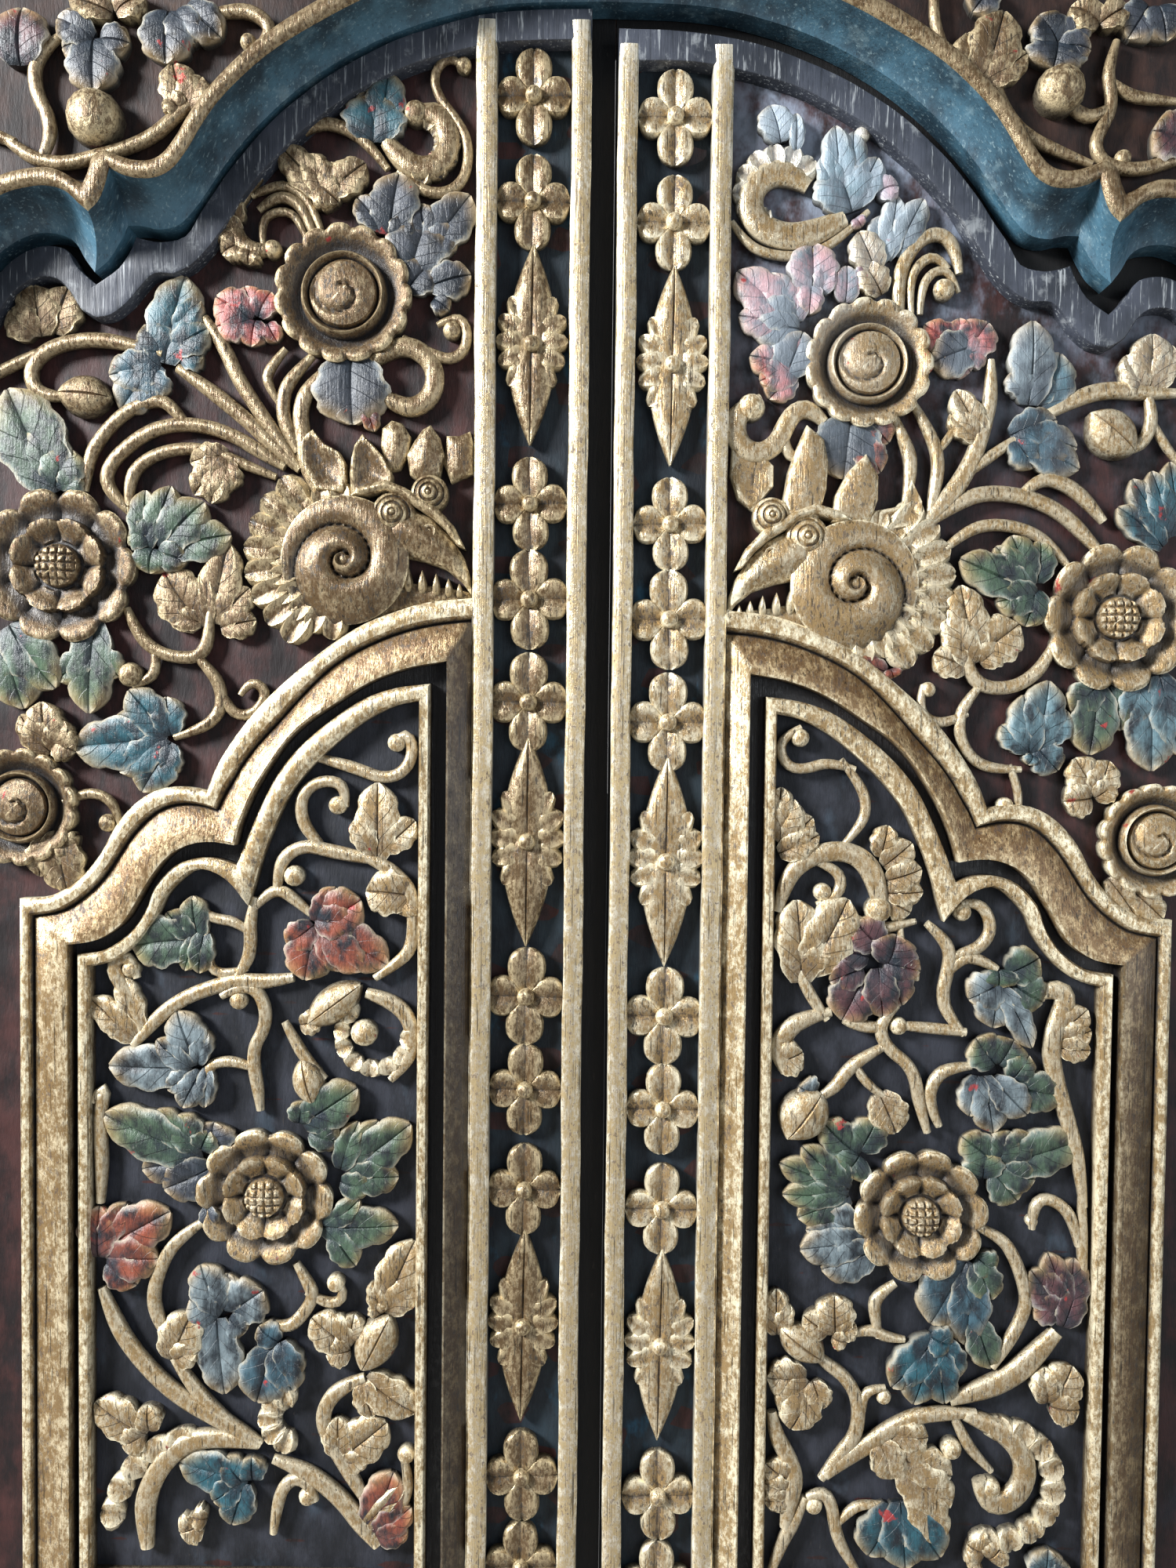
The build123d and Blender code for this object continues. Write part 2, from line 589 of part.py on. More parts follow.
# Sill and lintel, with a pocket at each pivot for its socket
sill = block(-outer_x - sill_horn, outer_x + sill_horn, sill_front, sill_back, 0, sill_top)
lintel = block(-outer_x, outer_x, rebate_face, frame_back, lintel_bottom, head_top)
for side, word in ((-1, "left"), (1, "right")):
    low_socket = upright(side * pivot_x, pivot_y, sill_top - socket_depth, sill_top, socket_radius)
    top_socket = upright(side * pivot_x, pivot_y, lintel_bottom, lintel_bottom + socket_depth, socket_radius)
    sill -= low_socket
    lintel -= top_socket
    bore = pivot_radius + pivot_play
    low_socket -= upright(side * pivot_x, pivot_y, sill_top - pivot_out, sill_top, bore)
    top_socket -= upright(side * pivot_x, pivot_y, lintel_bottom, lintel_bottom + pivot_out, bore)
    export_step(low_socket, f"parts/{word}_sill_socket.step")
    export_step(top_socket, f"parts/{word}_lintel_socket.step")

# Pegs that hold the head board to the lintel
peg_z = head_top - board_margin / 2
peg_back = frame_back - peg_depth
head_pegs = [crosswise(x * spread, peg_z, frame_front, peg_back, peg_radius) for x in head_peg_places]
head_board -= head_pegs
lintel -= head_pegs
export_step(head_board, "parts/head_board.step")
export_step(lintel, "parts/lintel.step")
export_step(sill, "parts/sill.step")
export_step(Compound(head_pegs), "parts/head_pegs.step")


def leaf_outline(drop):
    """Arched top of a leaf's carved face, from the meeting line to the hinge side."""
    gaps = [(arch_gap if i < 10 else lobe_gap) for i in range(len(opening_run))]
    run = [(min(x, leaf_far), z - drop) for x, z in inset(opening_run, gaps)]
    return [(0.0, run[0][1])] + run[1:-1] + [(leaf_far, run[-1][1])]


def under_run(run, side):
    """The leaf's face below a run from the meeting line to the hinge side."""
    return polygon([(side * x, z) for x, z in run + [(run[-1][0], leaf_bottom), (0.0, leaf_bottom)]])


def panel_outlines(side, drop):
    """The carved panel's outlines, from its bead to its ground."""
    shapes = []
    for head, step in zip(panel_heads, moulding_steps):
        points = [place(side * x, z, drop) for x, z in head]
        foot = upper_panel_foot + step
        shapes.append(polygon(points + [(points[-1][0], foot), (points[0][0], foot)]))
    return shapes


def lower_outlines(side):
    """The plain lower panel's outlines, with the mouldings of the carved one."""
    shapes = []
    for head, step in zip(panel_heads, moulding_steps):
        near, far = side * head[0][0] * spread, side * head[-1][0] * spread
        shapes.append(box2d(near, far, lower_panel_foot + step, lower_panel_head - step))
    return shapes


def creature(side, drop):
    """The beaked head over a panel: its ruff, then its skull and beak, then its volute and eyes."""
    ruff = []
    for x, z, inner, outer, first, last, count in ruffs:
        angles = (first, last) if side < 0 else (180 - first, 180 - last)
        ruff.append(fringe(*place(side * x, z, drop), inner, outer, *angles, count))
    x, z, radius = skull
    face = [disc(*place(side * x, z, drop), radius, 12)]
    face += [polygon([place(side * x, z, drop) for x, z in outline]) for outline in (beak, jaw)]
    for x0, z0, x1, z1, width in teeth:
        face.append(lobe(*place(side * x0, z0, drop), *place(side * x1, z1, drop), width))
    top = [disc(*place(side * x, z, drop), radius, 8) for x, z, radius in eyes + (volute,)]
    return ruff, face, top


def chain(side, drop):
    """Flowers between pointed leaves, down the whole stile."""
    shapes = []
    first = crown_z - lozenge_below_crown - drop + chain_pitch
    for i in range(ceil((first - leaf_bottom) / chain_pitch) + 1):
        shapes.append(lozenge(side * flower_line, first - chain_pitch * i))
        for step in flower_steps:
            shapes.append(flower(side * flower_line, first - chain_pitch * i + step))
    return shapes


def leaf(side, drop, upper_motifs, panel_motifs):
    """One leaf: a thick plank with its carving, cut from the same wood."""
    face = under_run(leaf_outline(drop), side)
    face &= box2d(side * leaf_near, side * leaf_far, leaf_bottom, head_top)
    inside_border = under_run([(x * spread, crown_z + z - drop) for x, z in border_edge], side)
    stile = box2d(side * inner_rail_edge, side * outer_rail_start, leaf_bottom, head_top)
    hinge_rail_edge = leaf_far - hinge_rail_width
    carved_side = box2d(side * outer_rail_edge, side * hinge_rail_edge, leaf_bottom, head_top)
    bead, band, groove, rail, ground = panel_outlines(side, drop - panel_head_lift if drop else 0.0)
    low_bead, low_band, low_groove, low_rail, low_ground = lower_outlines(side)

    field = carved_side & inside_border
    field -= box2d(0.0, side * leaf_far, leaf_bottom, upper_panel_foot)
    field -= bead
    rails = face - (stile & inside_border) - field - bead
    rails -= low_bead
    mouldings = [bead - band, rail - ground, low_bead - low_band, low_rail - low_ground]
    bands = [band - groove, low_band - low_groove]
    ruff, skull_work, top_work = creature(side, drop)
    low, high = carved(upper_motifs, drop)
    panel_low, panel_high = carved(panel_motifs, drop)
    layers = [
        (rails, rail_face), (joined(mouldings), rail_face), (joined(bands), high_face),
        (joined(chain(side, drop)) & stile & inside_border, motif_face),
        (joined(low + ruff) & field, motif_face), (joined(panel_low) & ground, motif_face),
        (joined(high + skull_work) & field, high_face), (joined(panel_high) & ground, high_face),
        (joined(top_work) & field, top_face),
    ]
    edge = meeting_offset + side * meeting_gap / 2
    plank = block(edge, side * pivot_x, leaf_front, leaf_back, leaf_bottom, leaf_top)
    plank += upright(side * pivot_x, pivot_y, leaf_bottom, leaf_top, heel_radius)
    plank += slab(face, leaf_front + carving_root, carved_ground)
    for shape, depth in layers:
        plank += slab(shape, carved_ground + carving_root, depth)
    return plank


# Battens run across the back between the pivot side and the meeting side
batten_near = meeting_offset + batten_clear_of_meeting
batten_far = pivot_x - batten_clear_of_pivot
peg_places = (batten_near + peg_inset, (batten_near + batten_far) / 2, batten_far - peg_inset)
leaf_plans = ((-1, "left", 0.0, left_upper, left_panel),
              (1, "right", right_leaf_drop, right_upper, right_panel))
for side, word, drop, upper_motifs, panel_motifs in leaf_plans:
    plank = leaf(side, drop, upper_motifs, panel_motifs)
    pegs = []
    for level, battens_name in zip(batten_levels, ("lower", "middle", "upper")):
        batten = block(side * batten_near, side * batten_far, leaf_back, leaf_back + batten_thickness,
                       level - batten_height / 2, level + batten_height / 2)
        peg_end = leaf_back + batten_thickness
        peg_start = leaf_back - peg_depth
        level_pegs = [crosswise(side * x, level, peg_start, peg_end, peg_radius) for x in peg_places]
        batten -= level_pegs
        pegs += level_pegs
        export_step(batten, f"parts/{word}_{battens_name}_batten.step")
    plank -= pegs
    foot = sill_top - pivot_out + pivot_end_gap
    tip = lintel_bottom + pivot_out - pivot_end_gap
    low_pin = upright(side * pivot_x, pivot_y, foot, leaf_bottom + pivot_in_leaf, pivot_radius)
    top_pin = upright(side * pivot_x, pivot_y, leaf_top - pivot_in_leaf, tip, pivot_radius)
    plank -= low_pin
    plank -= top_pin
    export_step(plank, f"parts/{word}_leaf.step")
    export_step(Compound(pegs), f"parts/{word}_batten_pegs.step")
    export_step(low_pin, f"parts/{word}_lower_pin.step")
    export_step(top_pin, f"parts/{word}_upper_pin.step")

# Sliding bar on the left leaf's back, with two keepers there and one on the right leaf
bar_bottom = bar_level - bar_height / 2
bar_front = leaf_back + bar_play
bar_near = bar_clear_of_meeting
bar_top = bar_bottom + bar_height
bar = block(-bar_near - bar_length, -bar_near, bar_front, bar_front + bar_thickness, bar_bottom, bar_top)
knob_gap = bar_travel + 2 * knob_radius + 2 * bar_play
second_keeper = keeper_clear_of_meeting + keeper_width + knob_gap
knob_x = -second_keeper + bar_play + knob_radius
knob = crosswise(knob_x, bar_level, bar_front, bar_front + bar_thickness + knob_height, knob_radius)
bar -= knob
export_step(bar, "parts/bar.step")
export_step(knob, "parts/bar_knob.step")
for name, near, side in (("inner_keeper", keeper_clear_of_meeting, -1), ("outer_keeper", second_keeper, -1),
                         ("catch_keeper", keeper_clear_of_meeting, 1)):
    back = bar_front + bar_thickness + bar_play
    keeper = block(side * near, side * (near + keeper_width), leaf_back, back + keeper_wall,
                   bar_bottom - bar_play - keeper_wall, bar_top + bar_play + keeper_wall)
    keeper -= block(side * (near - 1), side * (near + keeper_width + 1), leaf_back, back,
                    bar_bottom - bar_play, bar_top + bar_play)
    export_step(keeper, f"parts/{name}.step")
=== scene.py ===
import math
import random
import bpy
import numpy as np
from mathutils import Matrix, Vector
from mathutils.geometry import delaunay_2d_cdt


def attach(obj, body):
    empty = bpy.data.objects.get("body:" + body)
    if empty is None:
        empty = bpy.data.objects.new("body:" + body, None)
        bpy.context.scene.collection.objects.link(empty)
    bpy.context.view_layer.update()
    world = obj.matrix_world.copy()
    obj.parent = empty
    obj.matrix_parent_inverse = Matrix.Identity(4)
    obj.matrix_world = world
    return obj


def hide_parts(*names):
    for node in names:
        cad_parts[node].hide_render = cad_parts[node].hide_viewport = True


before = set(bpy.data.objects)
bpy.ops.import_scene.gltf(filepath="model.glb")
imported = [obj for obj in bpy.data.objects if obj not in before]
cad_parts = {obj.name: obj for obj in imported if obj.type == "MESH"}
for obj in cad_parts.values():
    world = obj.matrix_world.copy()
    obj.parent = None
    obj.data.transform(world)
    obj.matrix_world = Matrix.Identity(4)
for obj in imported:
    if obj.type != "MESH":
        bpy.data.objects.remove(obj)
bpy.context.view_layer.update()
print("frame loaded:", len(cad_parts), "solids")

# Tables and sizes are in millimetres, as across, up, with y as the depth: the carved face looks towards -y
door = {
    "crown": 2045.0,          # top of the lobed opening
    "level": 1000.0,          # the tables' heights are counted from here
    "drop": 12.0,             # the right leaf hangs this much lower
    "foot": 64.0,             # underside of the leaves
    "top": 2057.0,            # top of the leaves' rebated edge
    "ground": -4.0,           # carved ground of the leaves
    "front": 1.0,             # plank's front, behind the carved layer
    "back": 25.0,
    "pivotX": 473.0,
    "meeting": 7.0,           # the slit between the leaves
    "slit": 0.5,
    "near": 8.5,              # carved layer, from the meeting line
    "far": 454.0,
    "sunk": 0.6,              # how deep the foot of a carving stands in its ground
}


def smooth(low, high, value):
    t = np.clip((value - low) / (high - low), 0, 1)
    return t * t * (3 - 2 * t)


# The faces between rows of points. Around joins the ends of each row, closed joins the last row to the first
def between(rows, count, start=0, around=False, closed=False, back=False):
    faces = []
    for i in range(rows if closed else rows - 1):
        a, b = start + i * count, start + (i + 1) % rows * count
        for j in range(count if around else count - 1):
            k = (j + 1) % count
            faces.append([a + j, b + j, b + k, a + k] if back else [a + j, a + k, b + k, b + j])
    return faces


# A run of points made smooth through its own points, with its cusps left sharp
def eased(points, cusps=(), steps=4):
    ends = sorted({0, len(points) - 1, *cusps})
    run = []
    for first, last in zip(ends, ends[1:]):
        part = [Vector(p) for p in points[first:last + 1]]
        part = [2 * part[0] - part[1]] + part + [2 * part[-1] - part[-2]]
        for i in range(1, len(part) - 2):
            for k in range(steps):
                t = k / steps
                a, b, c, d = part[i - 1:i + 3]
                run.append(0.5 * (2 * b + (c - a) * t + (2 * a - 5 * b + 4 * c - d) * t ** 2
                                  + (3 * b - a - 3 * c + d) * t ** 3))
    run.append(Vector(points[-1]))
    return [tuple(p) for p in run]


# The same run cut into equal lengths
def evenly(points, count):
    p = np.array(points, float)
    gone = np.concatenate(([0], np.cumsum(np.hypot(*np.diff(p, axis=0).T))))
    at = np.linspace(0, gone[-1], count)
    return np.stack([np.interp(at, gone, p[:, 0]), np.interp(at, gone, p[:, 1])], 1)


# Twice the outline's area, above zero where it turns from x to z
def turning(points):
    p = np.array(points, float)
    q = np.roll(p, -1, axis=0)
    return np.sum(p[:, 0] * q[:, 1] - q[:, 0] * p[:, 1])


# Which places lie inside an outline, and how far each is from its edge
def inside(places, outline):
    x, z = places[:, 0][:, None], places[:, 1][:, None]
    a = np.array(outline, float)
    b = np.roll(a, -1, axis=0)
    crosses = (a[:, 1] > z) != (b[:, 1] > z)
    with np.errstate(divide="ignore", invalid="ignore"):
        at = a[:, 0] + (z - a[:, 1]) * (b[:, 0] - a[:, 0]) / (b[:, 1] - a[:, 1])
    return (np.sum(crosses & (x < at), axis=1) % 2) == 1


def fromEdge(places, outline):
    a = np.array(outline, float)
    d = np.roll(a, -1, axis=0) - a
    v = places[:, None, :] - a
    t = np.clip(np.sum(v * d, 2) / np.maximum(np.sum(d * d, 1), 1e-9), 0, 1)
    return np.min(np.hypot(*np.moveaxis(v - d * t[..., None], 2, 0)), axis=1)


sharpAngle = 40               # edges that turn more than this stay crisp


# Gathers the shapes of one piece, with what its finish reads at each point
class Carving:
    def __init__(self, name):
        self.name = name
        self.points, self.faces, self.slots = [], [], []
        self.paint, self.gilding, self.rim, self.rise, self.vein = [], [], [], [], []

    def add(self, points, faces, rim=0.0, rise=1.0, paint="gold", slot=0, vein=()):
        start, count = len(self.points), len(points)
        self.points += [tuple(p) for p in points]
        self.faces += [[start + k for k in face] for face in faces]
        self.slots += [slot] * len(faces)
        self.paint += [(*paints[paint], 1.0)] * count
        self.gilding += [1.0 if paint == "gold" else 0.0] * count
        self.rim += list(np.broadcast_to(rim, count))
        self.rise += list(np.broadcast_to(rise, count))
        self.vein += list(vein) + [(0, 0, 0)] * (count - len(vein))

    # A raised shape: its top, the loop round its edge (turning from x to z) and where it meets the ground
    def raised(self, top, faces, loop, ground, pull=0.0, rim=0.0, rise=1.0, **look):
        top = np.array(top, float)
        centre = top[loop].mean(0)
        foot = top[loop] + (centre - top[loop]) * pull
        foot[:, 1] = ground
        n, m = len(top), len(loop)
        walls = [[loop[k], n + k, n + (k + 1) % m, loop[(k + 1) % m]] for k in range(m)]
        rims = np.concatenate((np.broadcast_to(rim, n), np.ones(m)))
        # rise: how far each point stands off the ground; the finishes paint the low points dark, a painted
        # shade
        depth = np.concatenate((smooth(0, 7, ground - top[:, 1]) * rise, np.zeros(m)))
        bottom = [[n + k for k in reversed(range(m))]]
        self.add(np.concatenate((top, foot)), faces + walls + bottom, rims, depth, **look)

    # A sheet of points in rows, looking to the front
    def rows(self, rows, closed=False, rim=0.0, rise=1.0, **look):
        grid = np.array(rows, float)
        m, n = grid.shape[:2]
        faces = between(m, n, closed=closed)
        flat = grid.reshape(-1, 3)
        shape = np.array(faces[: (m - 1) * (n - 1)])
        a, c = flat[shape[:, 2]] - flat[shape[:, 0]], flat[shape[:, 3]] - flat[shape[:, 1]]
        if np.sum(a[:, 2] * c[:, 0] - a[:, 0] * c[:, 2]) > 0:
            faces = [face[::-1] for face in faces]
        marks = [mark if np.ndim(mark) == 2 else np.reshape(mark, (-1, 1)) for mark in (rim, rise)]
        self.add(flat, faces, *(np.broadcast_to(mark, (m, n)).ravel() for mark in marks), **look)

    def made(self, body, slot, finishes, replaced=()):
        return rides(self.plain(finishes), body, replaced)

    def plain(self, finishes=()):
        mesh = bpy.data.meshes.new(self.name)
        mesh.from_pydata([Vector(p) / 1000 for p in self.points], [], self.faces)
        mesh.polygons.foreach_set("material_index", self.slots)
        fields = {"FLOAT": "value", "FLOAT_COLOR": "color", "FLOAT_VECTOR": "vector"}
        kinds = {"paint": "FLOAT_COLOR", "gilding": "FLOAT", "rim": "FLOAT", "rise": "FLOAT",
                 "vein": "FLOAT_VECTOR"}
        for name, kind in kinds.items():
            values = np.array(getattr(self, name), np.float32).ravel()
            mesh.attributes.new(name, kind, "POINT").data.foreach_set(fields[kind], values)
        for finish in finishes:
            mesh.materials.append(finish)
        mesh.shade_smooth()
        mesh.set_sharp_from_angle(angle=math.radians(sharpAngle))
        return stood(self.name, mesh)


# A new object in the scene, at the origin
def stood(name, data):
    thing = bpy.data.objects.new(name, data)
    bpy.context.scene.collection.objects.link(thing)
    return thing


def rides(piece, body, replaced=()):
    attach(piece, body)
    if replaced:
        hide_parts(*replaced)
    return piece


# Colours as light values, from the usual 0 to 255 steps
def rgb(red, green, blue):
    steps = (red / 255, green / 255, blue / 255)
    return tuple(c / 12.92 if c <= 0.04 else ((c + 0.055) / 1.055) ** 2.4 for c in steps)


paints = {
    "gold": rgb(170, 142, 98), "teal": rgb(36, 82, 93), "blue": rgb(56, 84, 96), "moss": rgb(68, 88, 68),
    "slate": rgb(60, 64, 72), "rust": rgb(134, 68, 48), "pink": rgb(168, 88, 82), "mist": rgb(112, 124, 128),
    "red": rgb(156, 56, 44), "sky": rgb(90, 118, 126), "plum": rgb(88, 54, 56),
}

# Forms of a lobe: half its width and its height along it, and its height across it
lobeForms = {
    "leaf": {"half": (0.44, 0.58, 0.76, 0.90, 0.99, 1.0, 0.92, 0.76, 0.50, 0.14),
             "section": (0.62, 0.86, 1.0, 0.94, 0.88, 0.76, 0.88, 0.94, 1.0, 0.86, 0.62)},
    "petal": {"half": (0.30, 0.52, 0.75, 0.92, 1.0, 1.0, 0.95, 0.82, 0.60, 0.22),
              "section": (0.60, 0.90, 1.0, 0.88, 0.76, 0.72, 0.76, 0.88, 1.0, 0.90, 0.60)},
    "point": {"half": (0.60, 0.86, 1.0, 0.98, 0.87, 0.71, 0.52, 0.33, 0.16, 0.03),
              "section": (0.50, 0.72, 0.90, 1.0, 0.96, 0.84, 0.96, 1.0, 0.90, 0.72, 0.50)},
    "bud": {"half": (0.24, 0.50, 0.76, 0.94, 1.0, 0.97, 0.84, 0.62, 0.36, 0.08),
            "section": (0.25, 0.60, 0.85, 0.98, 1.0, 0.92, 1.0, 0.98, 0.85, 0.60, 0.25)},
}
lobeForm = {
    "along": (0.0, 0.07, 0.18, 0.32, 0.47, 0.61, 0.74, 0.85, 0.94, 1.0),
    "lift": (0.62, 0.76, 0.88, 0.96, 1.0, 1.0, 0.95, 0.88, 0.78, 0.66),
    "across": (-1.0, -0.88, -0.64, -0.32, -0.07, 0.0, 0.07, 0.32, 0.64, 0.88, 1.0),
    "bend": 0.07,             # how far a lobe curves aside, as a share of its length
    "undercut": 0.08,
    "spread": 1.45,           # how far neighbouring lobes run into each other
    "scallops": 3, "notch": 0.13,   # small notches down the sides of a leaf's lobe
    "full": 0.97,             # height of a leaf's sides near its root
    "thick": (0.9, 1.2), "uneven": (0.94, 1.06),    # how much leaves and their lobes differ in height
    "budHeight": 1.5, "ballHeight": 0.35, "fringeHeight": 0.95,     # as shares of the relief
    "overlap": 1.25, "tuck": 0.35,  # a fringe's lobes: how wide, and how far they reach under what they frame
}


# One lobe of a leaf, a petal or a scallop, with rounded edges
def lobe(carving, x0, z0, x1, z1, width, relief, ground, bend=0.0, form="leaf", coarse=False, **look):
    shared, own, isLeaf = lobeForm, lobeForms[form], form == "leaf"
    dx, dz = x1 - x0, z1 - z0
    length = max(math.hypot(dx, dz), 1.0)
    ax, az = -dz / length, dx / length
    shares = np.concatenate((np.linspace(0, 0.9, 5 if coarse else 13), (0.96, 1.0)))
    halves, lifts = (np.interp(shares, shared["along"], row) for row in (own["half"], shared["lift"]))
    section = list(zip(shared["across"], own["section"]))[::2 if coarse else 1]
    m, n = len(shares), len(section)
    top, rim, rise, vein = [], [], [], []
    for t, half, lift in zip(shares, halves, lifts):
        aside = bend * length * (t * t - t * 0.4)
        notch = shared["notch"] * abs(math.cos(math.pi * shared["scallops"] * t)) ** 3 if isLeaf else 0
        for s, high in section:
            if isLeaf:
                high += (shared["full"] - high) * (1 - smooth(0.2, 0.75, t)) * abs(s)
            vein.append((t, abs(s), float(isLeaf)))
            across = s * half * (1 - notch * abs(s)) * width / 2 + aside
            top.append((x0 + dx * t + ax * across, ground - relief * lift * high, z0 + dz * t + az * across))
            rim.append(max(abs(s) ** 3, smooth(0.85, 1.0, t)))
            # lower on the lobe's root and sides, which the finish paints darker as shade
            rise.append(0.3 + 0.7 * smooth(0.5, 0.85, lift * high))
    loop = [i * n for i in range(m)] + [(m - 1) * n + j for j in range(1, n)]
    loop += [i * n + n - 1 for i in range(m - 2, -1, -1)] + [j for j in range(n - 2, 0, -1)]
    faces = between(m, n, back=True)
    carving.raised(top, faces, loop, ground + door["sunk"], shared["undercut"], rim, rise, vein=vein, **look)


# A round shape drawn by its height at each share of its radius and each angle
def turned(carving, x, z, radius, height, ground, rings, sectors, edge=None, rimFrom=2.0, **look):
    shares = np.linspace(0, 1, rings + 1)[1:] ** 0.9
    angles = np.linspace(0, 2 * math.pi, sectors, endpoint=False)
    share, angle = np.meshgrid(shares, angles, indexing="ij")
    reach = radius * share * (edge(share, angle) if edge else 1.0)
    high = height(share, angle)
    top = np.stack((x + reach * np.cos(angle), ground - high, z + reach * np.sin(angle)), 2).reshape(-1, 3)
    tip = np.mean(height(np.full(8, 0.01), np.linspace(0, 6, 8)))
    top = np.concatenate(([(x, ground - tip, z)], top))
    faces = [[0, 1 + j, 1 + (j + 1) % sectors] for j in range(sectors)]
    faces += between(rings, sectors, 1, around=True, back=True)
    loop = [1 + (rings - 1) * sectors + j for j in range(sectors)]
    rims = np.concatenate(([0], np.repeat(smooth(rimFrom, 1, shares), sectors)))
    # lower in the valleys, which the finish paints darker as shade
    rise = 0.25 + 0.75 * smooth(0.42, 0.7, (ground - top[:, 1]) / np.max(high))
    carving.raised(top, faces, loop, ground + door["sunk"], 0.03, rims, rise, **look)


# Radii are shares of the rosette's own, heights are over the ground
rosetteForm = {
    # heights of a ring of petals: at its root, what it gains outwards, loses at the rim and between petals
    "check": {"petals": 10, "inner": 8, "notch": 0.12, "outerRing": (6.6, 4.6, 2.0, 3.4),
              "innerRing": (8.0, 5.6, 3.0), "core": 0.28, "coreFall": 3.2, "gap": 0.33, "gapHeight": 6.5,
              "hatch": 5.2, "hatchDepth": 1.8, "rings": 44},
    "swirl": {"petals": 15, "notch": 0.072, "outerRing": (4.5, 7.5, 1.5, 2.4), "core": 0.49, "coreFall": 0.30,
              "gap": 0.53, "gapHeight": 7.5, "lip": 0.63, "lipMiddle": 0.57, "lipHeight": 12.5, "lipSlope": 70,
              "turns": 2.4, "groove": 2.6, "rings": 28},
    "height": 15.5, "sectors": 108,
}


def petals(count, angle):
    return np.abs(np.sin(count * angle / 2))


# A flower with two rings of petals round a cross-hatched button, or one ring round a spiral
def rosette(carving, x, z, radius, kind, ground, turn=0.0, **look):
    form, height = rosetteForm[kind], rosetteForm["height"]

    def edge(r, a):
        return 1 - form["notch"] * smooth(0.6, 1, r) * (1 - petals(form["petals"], a + turn)) ** 1.5

    def check(r, a):
        outer, inner = petals(form["petals"], a + turn), petals(form["inner"], a)
        root, gain, rim, dip = form["outerRing"]
        wide = root + gain * smooth(0.66, 0.93, r) - rim * smooth(0.95, 1.0, r) - dip * (1 - outer) ** 2
        root, gain, dip = form["innerRing"]
        narrow = root + gain * smooth(0.34, 0.56, r) - dip * (1 - inner) ** 2
        rings = np.where(r > 0.56 + 0.06 * inner, wide, narrow)
        hatch = form["hatch"]
        lines = [np.abs(np.mod(radius * r * wave(a) + 100, hatch) - hatch / 2) for wave in (np.cos, np.sin)]
        core = height - form["coreFall"] * (r / form["core"]) ** 2
        core = core - form["hatchDepth"] * (1 - smooth(0.3, 1.2, np.minimum(*lines)))
        return np.where(r < form["core"], core, np.where(r < form["gap"], form["gapHeight"], rings))

    def swirl(r, a):
        valley = 1 - petals(form["petals"], a + turn)
        root, gain, rim, dip = form["outerRing"]
        ring = root + gain * smooth(0.62, 0.94, r) - rim * smooth(0.96, 1.0, r)
        ring = ring - dip * valley ** 2 * smooth(0.7, 1, r)
        lip = form["lipHeight"] - form["lipSlope"] * np.abs(r - form["lipMiddle"])
        ring = np.where(r < form["lip"], lip, ring)
        spiral = np.mod(a / (2 * math.pi) + np.sqrt(np.maximum(r, 0.001)) * form["turns"], 1.0)
        groove = 1 - smooth(0.0, 0.16, np.minimum(spiral, 1 - spiral))
        core = height * (1 - form["coreFall"] * (r / 0.5) ** 2)
        core = core - form["groove"] * groove * smooth(0.03, 0.12, r)
        return np.where(r < form["core"], core, np.where(r < form["gap"], form["gapHeight"], ring))

    shape = {"check": check, "swirl": swirl}[kind]
    turned(carving, x, z, radius, shape, ground, form["rings"], rosetteForm["sectors"], edge, 0.9, **look)


def ball(carving, x, z, radius, ground, lift=0.0, rings=5, sectors=14, **look):
    def height(r, a):
        return lift + radius * (0.25 + 0.75 * np.sqrt(np.maximum(1 - r ** 2, 0)))
    turned(carving, x, z, radius, height, ground, rings, sectors, **look)


eyeForm = {"height": 16, "fall": 7, "groove": 1.3, "grooves": 3.4}


# A round eye with rings cut into it
def eye(carving, x, z, radius, ground, **look):
    def height(r, a):
        cut = 1 - smooth(0.1, 0.3, np.abs(np.mod(r * eyeForm["grooves"], 1) - 0.5))
        return eyeForm["height"] - eyeForm["fall"] * r ** 1.6 - eyeForm["groove"] * cut
    turned(carving, x, z, radius, height, ground, 16, 32, **look)


